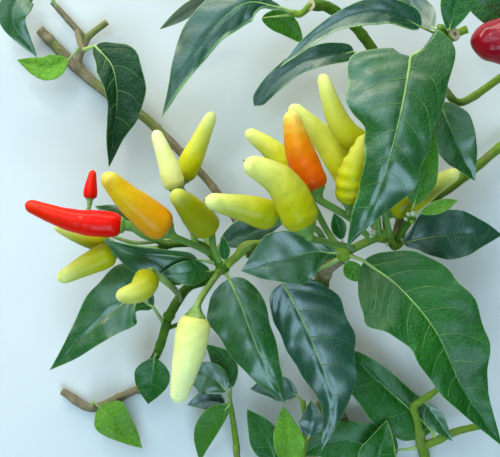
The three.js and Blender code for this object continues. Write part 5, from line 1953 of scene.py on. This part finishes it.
class CHILLI_OT_specks(bpy.types.Operator):
    """Scatters the small pale pores over the woody boughs"""

    bl_idname = "chilli.specks"
    bl_label = "Make bark pores"

    def execute(self, context):
        brown = tint("bark_brown")
        material = shared("bark pore", lambda name: plain_tint(name, times(brown, 1.7), 0.75))
        tree = bpy.data.node_groups.get("Scattered specks") or speck_tree()
        for number, name in enumerate(BOUGHS):
            if name in GREEN_BOUGHS:
                continue
            bark = bpy.data.objects[f"{name}_bark"]
            source = bpy.data.objects.new(f"{name}_source", bark.data.copy())
            context.scene.collection.objects.link(source)
            pores = grown(
                source, tree, f"{name}_pores", Density=PORE_DENSITY, Speck_Radius=PORE_RADIUS,
                Flatness=PORE_FLATNESS, Stretch=PORE_STRETCH, Seed=settings().sizes.seed + number,
                Material=material,
            )
            bpy.data.objects.remove(source)
            dress(pores, "bark_brown")
        return {"FINISHED"}


class CHILLI_OT_twigs(bpy.types.Operator):
    """Makes the twigs that carry each spray's leaves"""

    bl_idname = "chilli.twigs"
    bl_label = "Make twigs"

    def execute(self, context):
        sizes = settings().sizes
        spacing = sizes.joint_spacing / MILLIMETRE * TWIG_JOINT_SHARE
        for number, (name, spray) in enumerate(SPRAYS.items()):
            fresh = Shell()
            dry = Shell()
            seed = sizes.seed + TWIG_SEED + LIMB_SEED_STEP * number
            for order, piece in enumerate(spray["twigs"]):
                shell = dry if piece["dry"] else fresh
                add_limb(shell, piece, seed + order, sizes.bark_relief, spacing, sides=28)
            for holder, place, radius in KNOBS:
                if holder == name:
                    add_knob(fresh, spot(place), radius, seed + KNOB_SEED_STEP, sizes.bark_relief)
            if fresh.count:
                twigs = fresh.make(f"twigs_{name}", bark_materials(bark_kind(name, True)))
                dress(twigs, "bark_green")
            if dry.count:
                dress(dry.make(f"dry_twigs_{name}", bark_materials("brown")), "bark_brown")
        return {"FINISHED"}


class CHILLI_OT_leaves(bpy.types.Operator):
    """Makes each spray's blades, its midribs with their leaf stalks, and its side veins"""

    bl_idname = "chilli.leaves"
    bl_label = "Make leaves"

    def execute(self, context):
        sizes = settings().sizes
        rim = tint("leaf_rim")
        skins = [
            shared(
                f"leaf {tone}",
                lambda name, tone=tone, shine=shine: leaf_skin(name, tint(f"leaf_{tone}"), rim, shine),
            )
            for tone, _, shine in LEAF_TONES
        ]
        skins.append(shared("leaf underside", lambda name: leaf_underside(name, tint("leaf_under"))))
        for number, (name, spray) in enumerate(SPRAYS.items()):
            shell = Shell()
            midribs = []
            side_veins = {}
            for order, shape in enumerate(spray["leaves"]):
                blade = Blade(shape, sizes.seed + LEAF_SEED + LEAF_SEED_STEP * number + order, sizes)
                tone = next(index for index, (_, limit, _) in enumerate(LEAF_TONES) if shape["tone"] <= limit)
                add_blade(shell, blade, tone, len(skins) - 1, sizes.blade_thickness / MILLIMETRE)
                main, sides = leaf_lines(blade, sizes)
                midribs += main
                side_veins.setdefault(LEAF_TONES[tone][0], []).extend(sides)
            dress(shell.make(f"blades_{name}", skins), "leaf", f"spray_{name}")
            dress(tubes(f"midribs_{name}", midribs, vein_material(), sides=10), "leaf")
            for tone, lines in side_veins.items():
                dress(tubes(f"veins_{name}_{tone}", lines, side_vein_material(tone), sides=6), "leaf")
        return {"FINISHED"}


class CHILLI_OT_pods(bpy.types.Operator):
    """Makes the pods"""

    bl_idname = "chilli.pods"
    bl_label = "Make pods"

    def execute(self, context):
        sizes = settings().sizes
        for number, (name, shape) in enumerate(PODS.items()):
            shell = Shell()
            add_pod(shell, shape, sizes.seed + POD_SEED + POD_SEED_STEP * number, sizes.pod_lumpiness)
            pod_piece = shell.make(f"skin_{name}", [pod_material(shape["skin"])])
            dress(pod_piece, POD_SLOTS[shape["skin"]], f"pod_{name}")
        return {"FINISHED"}


class CHILLI_OT_stalks(bpy.types.Operator):
    """Makes the pods' caps and their ridged stalks"""

    bl_idname = "chilli.stalks"
    bl_label = "Make caps and stalks"

    def execute(self, context):
        sizes = settings().sizes
        green = tint("stalk")
        bark = tint("bark_green")
        vein = tint("vein")
        dark = shared("stalk", lambda name: stalk_skin(name, times(green, 0.75), blended(green, bark, 0.45)))
        pale = shared("pale stalk", lambda name: stalk_skin(name, times(bark, 0.8), times(vein, 0.9)))
        for number, (name, shape) in enumerate(PODS.items()):
            shell = Shell()
            thickness = sizes.stalk_radius / MILLIMETRE * shape["thick"]
            material = pale if name in PALE_STALKS else dark
            start = add_cap(shell, shape, sizes.seed + CAP_SEED + number, thickness)
            dress(shell.make(f"cap_{name}", [material]), "stalk")
            line = stalk_line(shape, start, thickness)
            stem = tubes(f"stem_{name}", [line], material, sides=30, ridges=5, depth=sizes.stalk_ridge)
            dress(stem, "stalk", f"stalk_{name}")
        return {"FINISHED"}


class CHILLI_OT_buds(bpy.types.Operator):
    """Makes the buds and the small dark points on the tips of two pods"""

    bl_idname = "chilli.buds"
    bl_label = "Make buds"

    def execute(self, context):
        young = blended(tint("bark_green"), tint("leaf_bright"), 0.4)
        green = shared("bud", lambda name: plain_tint(name, young, 0.45))
        white = shared("petal", lambda name: plain_tint(name, (0.46, 0.50, 0.28), 0.55))
        brown = shared("dried", lambda name: plain_tint(name, (0.16, 0.085, 0.04), 0.8))
        buds = Shell()
        for number, (base, tip, radius, flower) in enumerate(BUDS):
            seed = settings().sizes.seed + BUD_SEED + number
            add_bud(buds, spot(base), spot(tip), radius, flower, seed)
        dress(buds.make("buds", [green, white]), "stalk")
        points = Shell()
        for number, name in enumerate(POINTED_PODS):
            axis = spots(PODS[name]["axis"])
            ahead = unit(axis[-1] - axis[-2])
            end = along(axis, [1.0])[0]
            seed = settings().sizes.seed + POINT_SEED + number
            add_bud(points, end - ahead * 0.5, end + ahead * 0.75, 0.33, 0.0, seed)
        dress(points.make("tip_points", [brown, brown]), "stalk")
        return {"FINISHED"}


class CHILLI_OT_stage(bpy.types.Operator):
    """Sets up the floor, the soft lights and the camera"""

    bl_idname = "chilli.stage"
    bl_label = "Set the stage"

    def execute(self, context):
        scene = context.scene
        mesh = bpy.data.meshes.new("floor")
        reach = FLOOR_REACH
        low = CAD_LOW[2] - 0.0001
        corners = [(-reach, -reach, low), (reach, -reach, low), (reach, reach, low), (-reach, reach, low)]
        mesh.from_pydata(corners, [], [(0, 1, 2, 3)])
        mesh.materials.append(floor_paint("floor paint"))
        floor = bpy.data.objects.new("floor", mesh)
        scene.collection.objects.link(floor)
        middle = spot((MIDDLE_COLUMN, MIDDLE_ROW, PICTURE_HEIGHT)) * MILLIMETRE
        for name, place, size, power, colour in LIGHTS:
            lamp = bpy.data.lights.new(name, "AREA")
            lamp.shape = "RECTANGLE"
            lamp.size, lamp.size_y = size
            lamp.energy = power
            lamp.color = colour
            light = bpy.data.objects.new(name, lamp)
            light.location = place
            way = middle - np.array(place)
            light.rotation_euler = Vector(way).to_track_quat("-Z", "Y").to_euler()
            scene.collection.objects.link(light)
        world = bpy.data.worlds.new("pale room")
        world.use_nodes = True
        background = world.node_tree.nodes["Background"]
        background.inputs["Color"].default_value = (*ROOM_COLOUR, 1.0)
        background.inputs["Strength"].default_value = ROOM_STRENGTH
        scene.world = world
        scene.view_settings.view_transform = "Standard"
        view = bpy.data.cameras.new("camera")
        view.sensor_width = SENSOR_WIDTH
        seen = PICTURE_COLUMNS * COLUMN
        view.lens = SENSOR_WIDTH * (EYE_HEIGHT - PICTURE_HEIGHT) / seen
        view.clip_start = 0.05
        view.clip_end = 20
        camera = bpy.data.objects.new("camera", view)
        camera.location = (SHIFT_ALONG * MILLIMETRE, SHIFT_ACROSS * MILLIMETRE, EYE_HEIGHT * MILLIMETRE)
        scene.collection.objects.link(camera)
        scene.camera = camera
        return {"FINISHED"}


class CHILLI_PT_panel(bpy.types.Panel):
    """Lists the steps that make the branch, and what a user would change"""

    bl_idname = "CHILLI_PT_panel"
    bl_label = "Chilli branch"
    bl_space_type = "VIEW_3D"
    bl_region_type = "UI"
    bl_category = "Chilli"

    def draw(self, context):
        layout = self.layout
        for step in STEPS:
            layout.operator(step.bl_idname)
        for group in (settings().sizes, settings().colours):
            box = layout.box()
            for name in group.bl_rna.properties.keys():
                if name not in ("rna_type", "name"):
                    box.prop(group, name)


STEPS = (
    CHILLI_OT_boughs, CHILLI_OT_specks, CHILLI_OT_twigs, CHILLI_OT_leaves,
    CHILLI_OT_pods, CHILLI_OT_stalks, CHILLI_OT_buds, CHILLI_OT_stage,
)
CLASSES = (BranchSizes, BranchColours, BranchSettings, *STEPS, CHILLI_PT_panel)


def register():
    """Makes the classes and settings known to Blender."""
    for kind in CLASSES:
        bpy.utils.register_class(kind)
    bpy.types.Scene.chilli_branch = PointerProperty(type=BranchSettings)


def unregister():
    """Takes the classes and settings away again."""
    del bpy.types.Scene.chilli_branch
    for kind in reversed(CLASSES):
        bpy.utils.unregister_class(kind)


def main():
    """Makes the whole branch and its stage."""
    register()
    bpy.ops.chilli.boughs()
    bpy.ops.chilli.specks()
    bpy.ops.chilli.twigs()
    bpy.ops.chilli.leaves()
    bpy.ops.chilli.pods()
    bpy.ops.chilli.stalks()
    bpy.ops.chilli.buds()
    bpy.ops.chilli.stage()
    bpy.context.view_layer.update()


if __name__ == "__main__":
    main()
